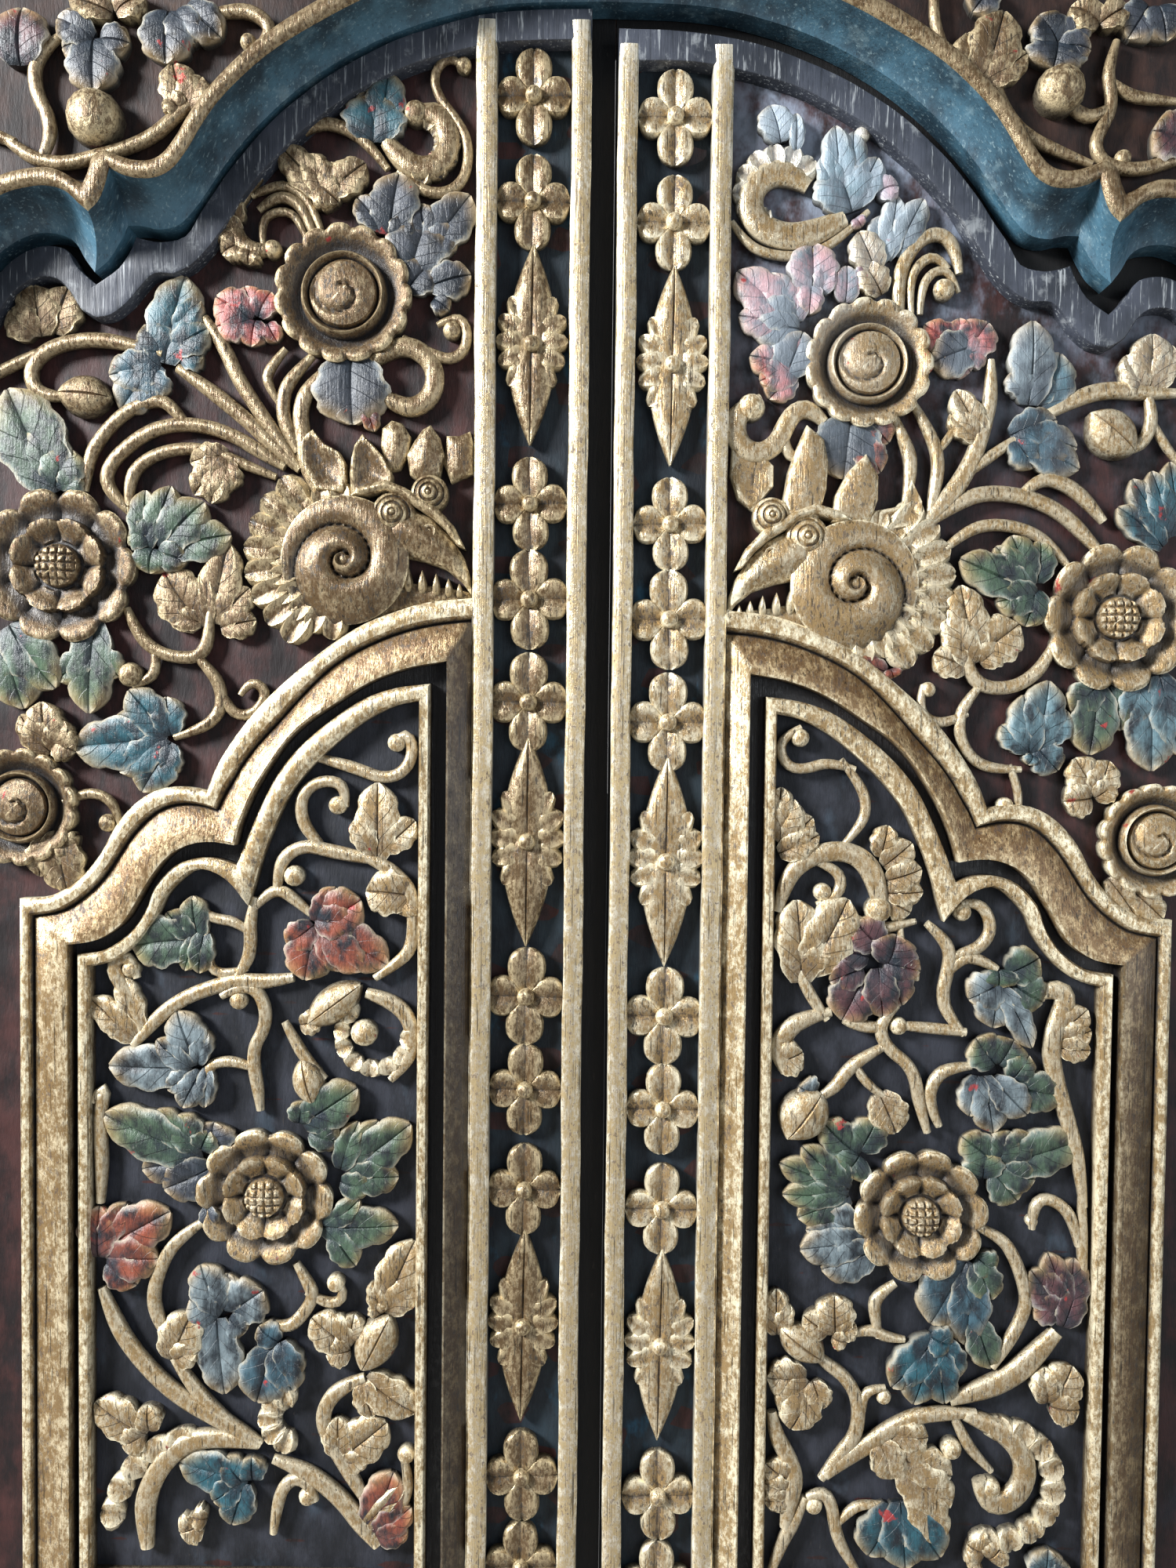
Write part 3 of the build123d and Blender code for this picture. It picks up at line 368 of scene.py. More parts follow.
# A flat-topped or domed shape inside any outline. Its edge is rounded over a width, and soft says how deep
def domed(carving, outline, back, top, roundOver=2.0, spacing=4.0, soft=1.2, dome=0.0, wander=0.0, **look):
    if turning(outline) < 0:
        outline = outline[::-1]
    closed = list(outline) + [outline[0]]
    edge = []
    for a, b in zip(closed, closed[1:]):
        cuts = max(1, round(math.dist(a, b) / spacing))
        edge += [(a[0] + (b[0] - a[0]) * k / cuts, a[1] + (b[1] - a[1]) * k / cuts) for k in range(cuts)]
    edge = np.array(edge)
    along = np.roll(edge, -1, axis=0) - np.roll(edge, 1, axis=0)
    inward = np.stack((-along[:, 1], along[:, 0]), 1) / np.maximum(np.hypot(*along.T), 1e-6)[:, None]
    places = [edge]
    for share in (0.3, 1.0):
        ring = edge + inward * roundOver * share
        places.append(ring[(fromEdge(ring, edge) > roundOver * share * 0.85) & inside(ring, edge)])
    lo, hi = edge.min(0), edge.max(0)
    steps = [np.arange(lo[k] + spacing / 2, hi[k], spacing) for k in (0, 1)]
    grid = np.stack([line.ravel() for line in np.meshgrid(*steps)], 1)
    grid = grid[inside(grid, edge)]
    if len(grid):
        places.append(grid[fromEdge(grid, edge) > roundOver + spacing * 0.45])
    flat = np.concatenate(places)
    count = len(edge)
    out = delaunay_2d_cdt([Vector(p) for p in flat], [], [list(range(count))], 1, 1e-4)
    flat = np.array([(v.x, v.y) for v in out[0]])
    gap = fromEdge(flat, edge)
    high = np.minimum(gap / roundOver, 1)
    y = top + soft * (1 - np.sqrt(np.maximum(1 - (1 - high) ** 2, 0)))
    if dome:
        y = y - dome * smooth(0, max(gap.max(), 1e-3), gap)
    x, z = flat.T
    if wander:                                   # the chisel never left it quite flat
        y = y - wander * (np.sin(x * 0.11 + z * 0.07) + np.sin(z * 0.19 - x * 0.05)) / 2
    points = np.stack((x, y, z), 1)
    faces = [list(face) for face in out[2]]
    first = {}
    for index, sources in enumerate(out[3]):
        for source in sources:
            first.setdefault(source, index)
    loop = [first[k] for k in range(count) if k in first]
    carving.raised(points, faces, loop, back, 0.0, 1 - smooth(0, roundOver * 1.6, gap), **look)


def place(x, z, drop=0.0):
    return x, z + door["level"] - drop


# Everything in a table but its stems, which are swept along their own lines
def motifs(carving, table, ground, relief, drop=0.0, flip=1, seed=1):
    rng, form = random.Random(seed), lobeForm
    bend = form["bend"]

    def at(x, z):
        return place(flip * x, z, drop)

    for paint, lobes in table["leaves"]:
        thick = relief * rng.uniform(*form["thick"])
        for x0, z0, x1, z1, width in lobes:
            height = thick * rng.uniform(*form["uneven"])
            lobe(carving, *at(x0, z0), *at(x1, z1), width * form["spread"], height, ground,
                 rng.uniform(-bend, bend), paint=paint)
    for x0, z0, x1, z1, width in table.get("buds", ()):
        lobe(carving, *at(x0, z0), *at(x1, z1), width, relief * form["budHeight"], ground, form="bud")
    for x, z, radius in table["balls"]:
        ball(carving, *at(x, z), radius, ground, relief * form["ballHeight"])
    for x, z, *ring in table.get("fringes", ()):
        fringe(carving, *at(x, z), *ring, relief * form["fringeHeight"], ground)
    for x, z, radius, kind in table.get("rosettes", ()):
        rosette(carving, *at(x, z), radius, kind, ground, rng.uniform(0, 1))


# Small lobes side by side round a part of a circle, from the first angle to the last
def fringe(carving, x, z, inner, outer, first, last, count, relief, ground, **look):
    step = (last - first) / count
    width = abs(math.radians(step)) * outer * lobeForm["overlap"]
    inner -= (outer - inner) * lobeForm["tuck"]
    for k in range(count):
        a = math.radians(first + step * (k + 0.5))
        ends = [c for reach in (inner, outer) for c in (x + reach * math.cos(a), z + reach * math.sin(a))]
        lobe(carving, *ends, width, relief, ground, form="petal", coarse=True, **look)


# One node socket; expressions on it add Math nodes
class Value:
    def __init__(self, graph, socket):
        self.graph, self.socket = graph, socket

    def maths(self, operation, *others):
        return self.graph.node("ShaderNodeMath", {"operation": operation}, dict(enumerate((self, *others))))

    def __add__(self, other):
        return self.maths("ADD", other)

    def __mul__(self, other):
        return self.maths("MULTIPLY", other)

    def __sub__(self, other):
        return self.maths("SUBTRACT", other)

    def __rsub__(self, other):
        return (self * -1.0) + other

    __radd__, __rmul__ = __add__, __mul__

    # 0 below low, 1 above high, smooth between them
    def step(self, low, high):
        ends = {"Value": self, "From Min": low, "From Max": high}
        return self.graph.node("ShaderNodeMapRange", {"interpolation_type": "SMOOTHSTEP"}, ends)


# A node tree, where one method makes any node from its type, its settings and what its sockets hold
class Graph:
    def __init__(self, tree):
        self.tree = tree

    def node(self, kind, settings=None, inputs=None, out=0):
        made = self.tree.nodes.new(kind)
        for key, value in (settings or {}).items():
            setattr(made, key, value)
        for key, value in (inputs or {}).items():
            self.plug(made.inputs[key], value)
        return Value(self, made.outputs[out])

    def plug(self, socket, value):
        if isinstance(value, Value):
            self.tree.links.new(value.socket, socket)
        elif socket.type == "RGBA" and len(value) == 3:
            socket.default_value = (*value, 1.0)
        else:
            socket.default_value = value

    def parts(self, vector):
        split = self.node("ShaderNodeSeparateXYZ", inputs={"Vector": vector}).socket.node
        return [Value(self, socket) for socket in split.outputs]


# A Geometry Nodes tree with named inputs
class Growth(Graph):
    def __init__(self, name, **inputs):
        super().__init__(bpy.data.node_groups.new(name, "GeometryNodeTree"))
        face = self.tree.interface
        face.new_socket("Geometry", in_out="OUTPUT", socket_type="NodeSocketGeometry")
        for label, kind in {"Geometry": "Geometry", **inputs}.items():
            face.new_socket(label, in_out="INPUT", socket_type="NodeSocket" + kind)
        source = self.tree.nodes.new("NodeGroupInput")
        self.given = {label: Value(self, source.outputs[label]) for label in ("Geometry", *inputs)}

    def ends(self, geometry):
        real = self.node("GeometryNodeRealizeInstances", inputs={"Geometry": geometry})
        finish = {"Geometry": real, "Material": self.given["Material"]}
        sink = self.tree.nodes.new("NodeGroupOutput")
        self.plug(sink.inputs["Geometry"], self.node("GeometryNodeSetMaterial", inputs=finish))
        return self.tree


# Runs a tree on some data and returns the plain mesh
def grown(name, data, tree, values):
    thing = stood(name, data)
    modifier = thing.modifiers.new("growth", "NODES")
    modifier.node_group = tree
    for item in tree.interface.items_tree:
        if item.in_out == "INPUT" and item.name in values:
            modifier[item.identifier] = values[item.name]
    bpy.context.view_layer.update()
    mesh = bpy.data.meshes.new_from_object(thing.evaluated_get(bpy.context.evaluated_depsgraph_get()))
    bpy.data.objects.remove(thing)
    return mesh


# A round stem along every spline, pressed to the depth the carver had
def stemTree():
    g = Growth("stems", Step="Float", Sides="Int", Ground="Float", Relief="Float", Fullness="Float",
               Material="Material")
    given = g.given
    curve = g.node("GeometryNodeResampleCurve", {"mode": "LENGTH"},
                   {"Curve": given["Geometry"], "Length": given["Step"]})
    ring = g.node("GeometryNodeCurvePrimitiveCircle", inputs={"Resolution": given["Sides"], "Radius": 1.0})
    mesh = g.node("GeometryNodeCurveToMesh", inputs={"Curve": curve, "Profile Curve": ring, "Fill Caps": True,
                                                     "Scale": g.node("GeometryNodeInputRadius")})
    across, depth, up = g.parts(g.node("GeometryNodeInputPosition"))
    share = depth.maths("DIVIDE", given["Fullness"]).maths("TANH").maths("MULTIPLY_ADD", -0.5, 0.5)
    moved = {"X": across, "Y": given["Ground"] - share * given["Relief"], "Z": up}
    # rise: 1 on the stem's front, 0 at its foot, which the finish paints darker as shade
    mesh = g.node("GeometryNodeStoreNamedAttribute", {"data_type": "FLOAT", "domain": "POINT"},
                  {"Geometry": mesh, "Name": "rise", "Value": share})
    mesh = g.node("GeometryNodeSetPosition",
                  inputs={"Geometry": mesh, "Position": g.node("ShaderNodeCombineXYZ", inputs=moved)})
    return g.ends(g.node("GeometryNodeSetShadeSmooth", inputs={"Geometry": mesh}))


# The same small carving again and again, up a straight line, each turned and sized a little by hand
def repeatTree():
    g = Growth("repeats", Motif="Object", Count="Int", First="Vector", Pitch="Vector", Turn="Float",
               Smallest="Float", Largest="Float", Seed="Int", SizeSeed="Int", Material="Material")
    given = g.given

    def varied(low, high, seed):
        ends = {2: low, 3: high, "Seed": seed}
        return g.node("FunctionNodeRandomValue", {"data_type": "FLOAT"}, ends, out=1)

    line = {"Count": given["Count"], "Start Location": given["First"], "Offset": given["Pitch"]}
    motif = g.node("GeometryNodeObjectInfo", inputs={"Object": given["Motif"]}, out="Geometry")
    tilt = varied(given["Turn"] * -1.0, given["Turn"], given["Seed"])
    size = varied(given["Smallest"], given["Largest"], given["SizeSeed"])
    copies = {"Points": g.node("GeometryNodeMeshLine", inputs=line), "Instance": motif,
              "Rotation": g.node("ShaderNodeCombineXYZ", inputs={"Y": tilt}),
              "Scale": g.node("ShaderNodeCombineXYZ", inputs={"X": size, "Y": 1.0, "Z": size})}
    return g.ends(g.node("GeometryNodeInstanceOnPoints", inputs=copies))


# A material, laid out by the object's own coordinates
class Finish(Graph):
    def __init__(self, name):
        self.material = bpy.data.materials.new(name)
        self.material.use_nodes = True
        super().__init__(self.material.node_tree)
        self.place = self.node("ShaderNodeTexCoord", out="Object")

    # Noise whose features are stretched by the given scales, in steps per metre
    def noise(self, scale, detail=3.0, rough=0.55, turn=(0, 0, 0)):
        spread = self.node("ShaderNodeMapping", inputs={"Vector": self.place, "Scale": scale, "Rotation": turn})
        look = {"Vector": spread, "Scale": 1.0, "Detail": detail, "Roughness": rough}
        return self.node("ShaderNodeTexNoise", inputs=look, out="Fac")

    def mark(self, name, out="Fac"):
        return self.node("ShaderNodeAttribute", {"attribute_name": name}, out=out)

    # How far the surface bends: above 0.5 on edges, below it in hollows
    def bent(self):
        return self.node("ShaderNodeNewGeometry", out="Pointiness")

    def blend(self, amount, low, high):
        settings = {"data_type": "RGBA", "clamp_factor": True}
        return self.node("ShaderNodeMix", settings, {0: amount, 6: low, 7: high}, 2)

    def done(self, colour, roughness, metallic=0.0, height=None, depth=0.0006, specular=0.5):
        look = {"Base Color": colour, "Roughness": roughness, "Metallic": metallic,
                "Specular IOR Level": specular}
        if height is not None:
            bump = {"Height": height, "Distance": depth, "Strength": 0.8}
            look["Normal"] = self.node("ShaderNodeBump", inputs=bump)
        for label, value in look.items():
            self.plug(self.tree.nodes["Principled BSDF"].inputs[label], value)
        return self.material


# Light, middle and worn colour of each tone, then what they share. Noise is given in steps per metre
gilding = {
    "pale": (rgb(251, 243, 221), rgb(182, 161, 121), rgb(80, 62, 46)),
    "warm": (rgb(248, 235, 202), rgb(154, 128, 88), rgb(57, 43, 34)),
    "darkGilt": (rgb(206, 187, 148), rgb(97, 77, 52), rgb(34, 28, 24)),
    "band": (rgb(194, 166, 120), rgb(108, 82, 54)),
    # the darkest colour is dirt in the cracks of the grain, and painted shade in the hollows and at the foot of
    # each form
    "dirtAndShade": rgb(16, 14, 15), "brown": rgb(92, 68, 46), "metal": 0.45, "rough": 0.30,
    "patches": (120, 120, 80), "specks": (420, 420, 240), "grain": (690, 690, 40),
}


# Old leaf gilding: pale on its edges, partly worn and partly a painted highlight on sharp convex edges, rubbed
# in specks, dark along the grain, and painted shade in the hollows
def gildedColour(f, tone, wear, grain=gilding["grain"], band=0.0):
    light, mid, worn = gilding[tone]
    inner = 1 - f.mark("rim")
    if band:
        light, mid = (f.blend(inner * band, old, new) for old, new in zip((light, mid), gilding["band"]))
    bent = f.bent()
    patches = f.noise(gilding["patches"], 6, 0.75)
    specks = f.noise(gilding["specks"], 5, 0.75)
    lines = f.noise(grain, 4, 0.6)
    # pale in patches and specks, with a painted highlight on sharp convex edges
    paleAndHighlight = (bent.step(0.50, 0.63) * 0.3 + specks * 1.1 + patches * 0.9).step(0.93, 1.28)
    colour = f.blend(paleAndHighlight, mid, light)
    inner = inner * (patches * 1.3 + specks * 0.5).step(0.70, 1.05)
    colour = f.blend(inner * (0.5 - band * 0.5), colour, gilding["brown"])
    # rubbed to the worn colour in specks and along the grain; it also gathers in the hollows, a painted shade
    rubbed = specks + (1 - patches) * 0.5 + lines * 0.3 - bent * 1.6
    rubbed = rubbed.step(0.28 - wear * 0.3, 0.37 - wear * 0.3)
    colour = f.blend(rubbed * 0.85, colour, worn)
    cracks, hollow = (1 - lines).step(0.58, 0.66), 1 - bent.step(0.41, 0.49)
    colour = f.blend(cracks * 0.75, colour, gilding["dirtAndShade"])
    # the hollows painted near black, a painted shade
    colour = f.blend(hollow * 0.9, colour, gilding["dirtAndShade"])
    return colour, rubbed, lines + specks * 0.5 + patches


def gildedWood(name, tone, wear, hollow=0.85, grain=gilding["grain"], band=0.0):
    f = Finish(name)
    colour, rubbed, relief = gildedColour(f, tone, wear, grain, band)
    # darker towards the foot of each form, where it meets the ground: painted shade and grime
    deep = (1 - f.mark("rise").step(0.1, 0.85)) * hollow
    colour = f.blend(deep, colour, gilding["dirtAndShade"])
    metallic = (1 - rubbed) * (1 - deep) * gilding["metal"]
    return f.done(colour, rubbed * 0.25 + gilding["rough"], metallic, relief)


# What the years did to the painted leaves, with painted shade for their hollows and their foot, and the pale
# dust under the arch on the right
weather = {
    "dark": rgb(18, 22, 28), "bleached": rgb(186, 196, 198), "chalk": rgb(128, 126, 118),
    "bare": rgb(172, 162, 140), "hollow": rgb(18, 18, 22), "deep": rgb(20, 18, 21), "red": rgb(150, 44, 42),
    "heart": rgb(26, 38, 48), "tip": rgb(200, 166, 108), "rib": rgb(20, 22, 26), "goldHeart": rgb(84, 62, 42),
    "dustOnPaint": rgb(186, 200, 212), "dustOnGold": rgb(206, 214, 220), "dustOnGround": rgb(150, 162, 180),
    "dustHeights": {"paint": (1.70, 1.98), "gold": (1.76, 2.0), "ground": (1.70, 1.96)},
    "dustAcross": (0.04, 0.12),
    "streak": (80, 80, 50), "fine": (420, 420, 260), "cloud": (16, 16, 10),
    "redSpots": (60, 60, 60),
}


# Gilding and painted leaves in one finish, told apart by what the carving says at each point
def paintedCarving(name, tone, wear, dust=0.0):
    f, old = Finish(name), weather
    gold, rubbed, relief = gildedColour(f, tone, wear)
    paint, rim, bent = f.mark("paint", "Color"), f.mark("rim"), f.bent()
    streak, fine = f.noise(old["streak"], 5, 0.65), f.noise(old["fine"], 4, 0.7)

    # paint worn dark on the flats and pale on the edges
    shade = f.blend(streak.step(0.34, 0.64), old["dark"], paint)
    paint = f.blend((rim * 0.5 + streak * 0.9).step(0.58, 1.05), shade, f.blend(0.35, paint, old["bleached"]))
    paint = f.blend(fine.step(0.58, 0.72) * 0.4, paint, old["chalk"])
    paint = f.blend((rim * 0.8 + fine * 0.9 - 0.25).step(0.62, 1.05) * 0.7, paint, old["bare"])
    # the hollows painted dark, a painted shade
    paint = f.blend((1 - bent.step(0.38, 0.47)) * 0.5, paint, old["hollow"])

    # leaves dark at the heart and pale at the tips, with ribs slanting off the middle of each lobe
    along, aside, leaf = f.parts(f.mark("vein", "Vector"))
    heart = (1 - (along * 0.9 + aside * 0.35 + streak * 0.5).step(0.35, 0.95)) * leaf
    tips = (along + aside * 0.3 + streak * 0.4).step(0.95, 1.45) * leaf
    ribs = (along * 4.2 - aside * 1.3 + fine * 0.12).maths("FRACT")
    ribs = (1 - ribs.step(0.02, 0.09)) * leaf * (1 - aside.step(0.7, 0.95))
    for amount, over in ((heart * 0.75, "heart"), (tips * 0.4, "tip"), (ribs * 0.5, "rib")):
        paint = f.blend(amount, paint, old[over])
    gold = f.blend(ribs * 0.5, f.blend(heart * 0.5, gold, old["goldHeart"]), gilding["dirtAndShade"])

    if dust:
        haze, up = f.noise(old["cloud"], 4, 0.6).step(0.40, 0.62) * dust, f.parts(f.place)[2]
        paint = f.blend(haze * up.step(*old["dustHeights"]["paint"]), paint, old["dustOnPaint"])
        gold = f.blend(haze * up.step(*old["dustHeights"]["gold"]), gold, old["dustOnGold"])
    gilded = f.mark("gilding").step(0.4, 0.6)
    red = f.noise(old["redSpots"], 3, 0.6).step(0.68, 0.72) * fine.step(0.36, 0.5)
    colour = f.blend(red * 0.9, f.blend(gilded, paint, gold), old["red"])
    # darker towards the foot of each form: painted shade and grime
    deep = (1 - f.mark("rise").step(0.1, 0.85)) * 0.9
    metallic = gilded * (1 - rubbed) * (1 - deep) * gilding["metal"]
    return f.done(f.blend(deep, colour, old["deep"]), rubbed * 0.2 + 0.42, metallic, relief + fine - ribs * 0.8)


coat = {
    "patch": (60, 60, 30), "trace": (34, 34, 20), "grain": (400, 400, 90), "haze": (26, 26, 18),
    "rubbed": rgb(112, 100, 90),
}


# Carved ground, with traces of an older coat
def ground(name, low, high, traces, amount=0.3, dust=0.0):
    f = Finish(name)
    colour = f.blend(f.noise(coat["patch"], 5, 0.65).step(0.35, 0.7), low, high)
    colour = f.blend(f.noise(coat["trace"], 5, 0.6).step(0.58, 0.72) * amount, colour, traces)
    fine = f.noise(coat["grain"], 4, 0.7)
    colour = f.blend(fine.step(0.64, 0.78) * 0.22, colour, coat["rubbed"])
    if dust:
        across, depth, up = f.parts(f.place)
        haze = f.noise(coat["haze"], 5, 0.7).step(0.38, 0.66) * up.step(*weather["dustHeights"]["ground"])
        colour = f.blend(haze * across.step(*weather["dustAcross"]) * dust, colour, weather["dustOnGround"])
    return f.done(colour, 0.62, 0.0, fine, 0.0005, 0.35)


trim = {
    "patch": (30, 30, 18), "scratch": (520, 520, 24), "cross": (420, 420, 30), "crossSlant": -0.9,
    "blotch": (42, 42, 42), "dark": rgb(22, 26, 32),
}


# Painted trim of the arch: streaks and scratches run aslant, pale where it is handled
def trimPaint(name, low, high, pale, slant, amount):
    f = Finish(name)
    colour = f.blend(f.noise(trim["patch"], 5, 0.6).step(0.35, 0.68), low, high)
    scratch = f.noise(trim["scratch"], 4, 0.65, (0, slant, 0))
    cross = f.noise(trim["cross"], 3, 0.6, (0, trim["crossSlant"], 0))
    colour = f.blend((1 - scratch).step(0.56, 0.70) * 0.55, colour, trim["dark"])
    colour = f.blend(scratch.step(0.57, 0.68) * amount, colour, pale)
    colour = f.blend(cross.step(0.64, 0.72) * amount * 0.7, colour, pale)
    blotch = f.noise(trim["blotch"], 5, 0.7).step(0.56, 0.70)
    colour = f.blend(blotch * amount * 0.6, colour, pale)
    return f.done(colour, 0.5, 0.0, scratch + cross * 0.5, 0.0004)


pores = rgb(24, 17, 13)


def bareWood(name, low, high, scale=(120, 160, 9)):
    f = Finish(name)
    grain = f.noise(scale, 5, 0.62)
    rings = f.noise(tuple(s * 4 for s in scale), 4, 0.6)
    colour = f.blend((grain * 0.7 + rings * 0.3).step(0.36, 0.64), low, high)
    colour = f.blend((1 - rings).step(0.58, 0.72) * 0.6, colour, pores)
    return f.done(colour, rings * 0.2 + 0.58, 0.0, rings, 0.0006, 0.3)


iron = {"spots": (180, 180, 180), "plain": rgb(44, 42, 42), "rust": rgb(92, 58, 40)}


def agedIron(name):
    f = Finish(name)
    spots = f.noise(iron["spots"], 5, 0.7)
    rust = spots.step(0.48, 0.68)
    colour = f.blend(rust, iron["plain"], iron["rust"])
    return f.done(colour, spots * 0.4 + 0.35, (1 - rust) * 0.8, spots, 0.0003)


# In metres from the middle: where the jambs' blue ends, where their gilded bead ends, and how sharply
jambForm = {"blue": 0.4686, "bead": 0.4786, "edge": 0.0004, "face": (-0.012, -0.0105)}
blues, browns = (rgb(30, 50, 62), rgb(66, 102, 120)), (rgb(22, 14, 13), rgb(60, 40, 32))


# Plain board with the arch's blue hollow and gilded bead carried down its edge
def jambPaint(name):
    f, form = Finish(name), jambForm
    across, depth, up = f.parts(f.place)
    across = across.maths("ABSOLUTE")
    wood = f.blend(f.noise((60, 60, 14), 5, 0.65).step(0.35, 0.7), *browns)
    blue = f.blend(f.noise((40, 40, 16), 5, 0.65).step(0.38, 0.66), *blues)
    gold, rubbed, relief = gildedColour(f, "darkGilt", 0.5)
    front = 1 - depth.step(*form["face"])
    pastBlue, pastBead = (across.step(form[k] - form["edge"], form[k] + form["edge"]) for k in ("blue", "bead"))
    colour = f.blend((1 - pastBlue) * front, wood, blue)
    colour = f.blend(pastBlue * (1 - pastBead) * front, colour, gold)
    return f.done(colour, 0.55, 0.0, relief, 0.0005, 0.35)


finishes = {
    "gold": gildedWood("gilded_carving", "warm", 0.5),
    # the darker gilding, used on the left leaf as a painted shade
    "darkGilt": gildedWood("gilded_carving_dark", "darkGilt", 0.5),
    "rails": gildedWood("gilded_rails", "pale", 0.6, 0.8, (840, 840, 18)),
    "flowers": gildedWood("gilded_flowers", "warm", 0.62, 0.9),
    "mouldings": gildedWood("gilded_mouldings", "warm", 0.55, 0.95, (720, 720, 26), 1.0),
    "carving": paintedCarving("painted_carving", "warm", 0.5),
    "darkCarving": paintedCarving("painted_carving_dark", "darkGilt", 0.5),
    "dusty": paintedCarving("painted_carving_dusty", "warm", 0.4, 0.55),
    "field": ground("field_ground", rgb(22, 14, 15), rgb(62, 34, 32), rgb(40, 48, 60), dust=0.75),
    "panel": ground("panel_ground", rgb(18, 20, 26), rgb(44, 46, 54), rgb(70, 86, 100)),
    "stile": ground("stile_ground", rgb(14, 20, 28), rgb(34, 46, 54), rgb(34, 92, 120), 0.6),
    # the plank's front and meeting edge in the slit, painted near black: a painted shadow
    "slitShadow": ground("dark_seam", rgb(8, 8, 9), rgb(18, 16, 16), rgb(26, 25, 26)),
    "border": trimPaint("slate_border", rgb(34, 38, 46), rgb(62, 66, 76), rgb(164, 168, 170), 0.6, 0.7),
    "cavetto": trimPaint("blue_cavetto", *blues, rgb(140, 164, 170), 0.8, 0.45),
    "board": ground("board_ground", rgb(22, 14, 13), rgb(56, 36, 29), rgb(92, 66, 46), 0.35),
    "jamb": jambPaint("jamb_board"),
    "backWood": bareWood("back_wood", rgb(52, 34, 24), rgb(104, 72, 48)),
    "crossWood": bareWood("cross_wood", rgb(56, 38, 28), rgb(112, 80, 54), (9, 160, 120)),
    "pegWood": bareWood("peg_wood", rgb(84, 58, 38), rgb(138, 102, 70), (160, 20, 160)),
    "iron": agedIron("pivot_iron"),
}
print("finishes made")


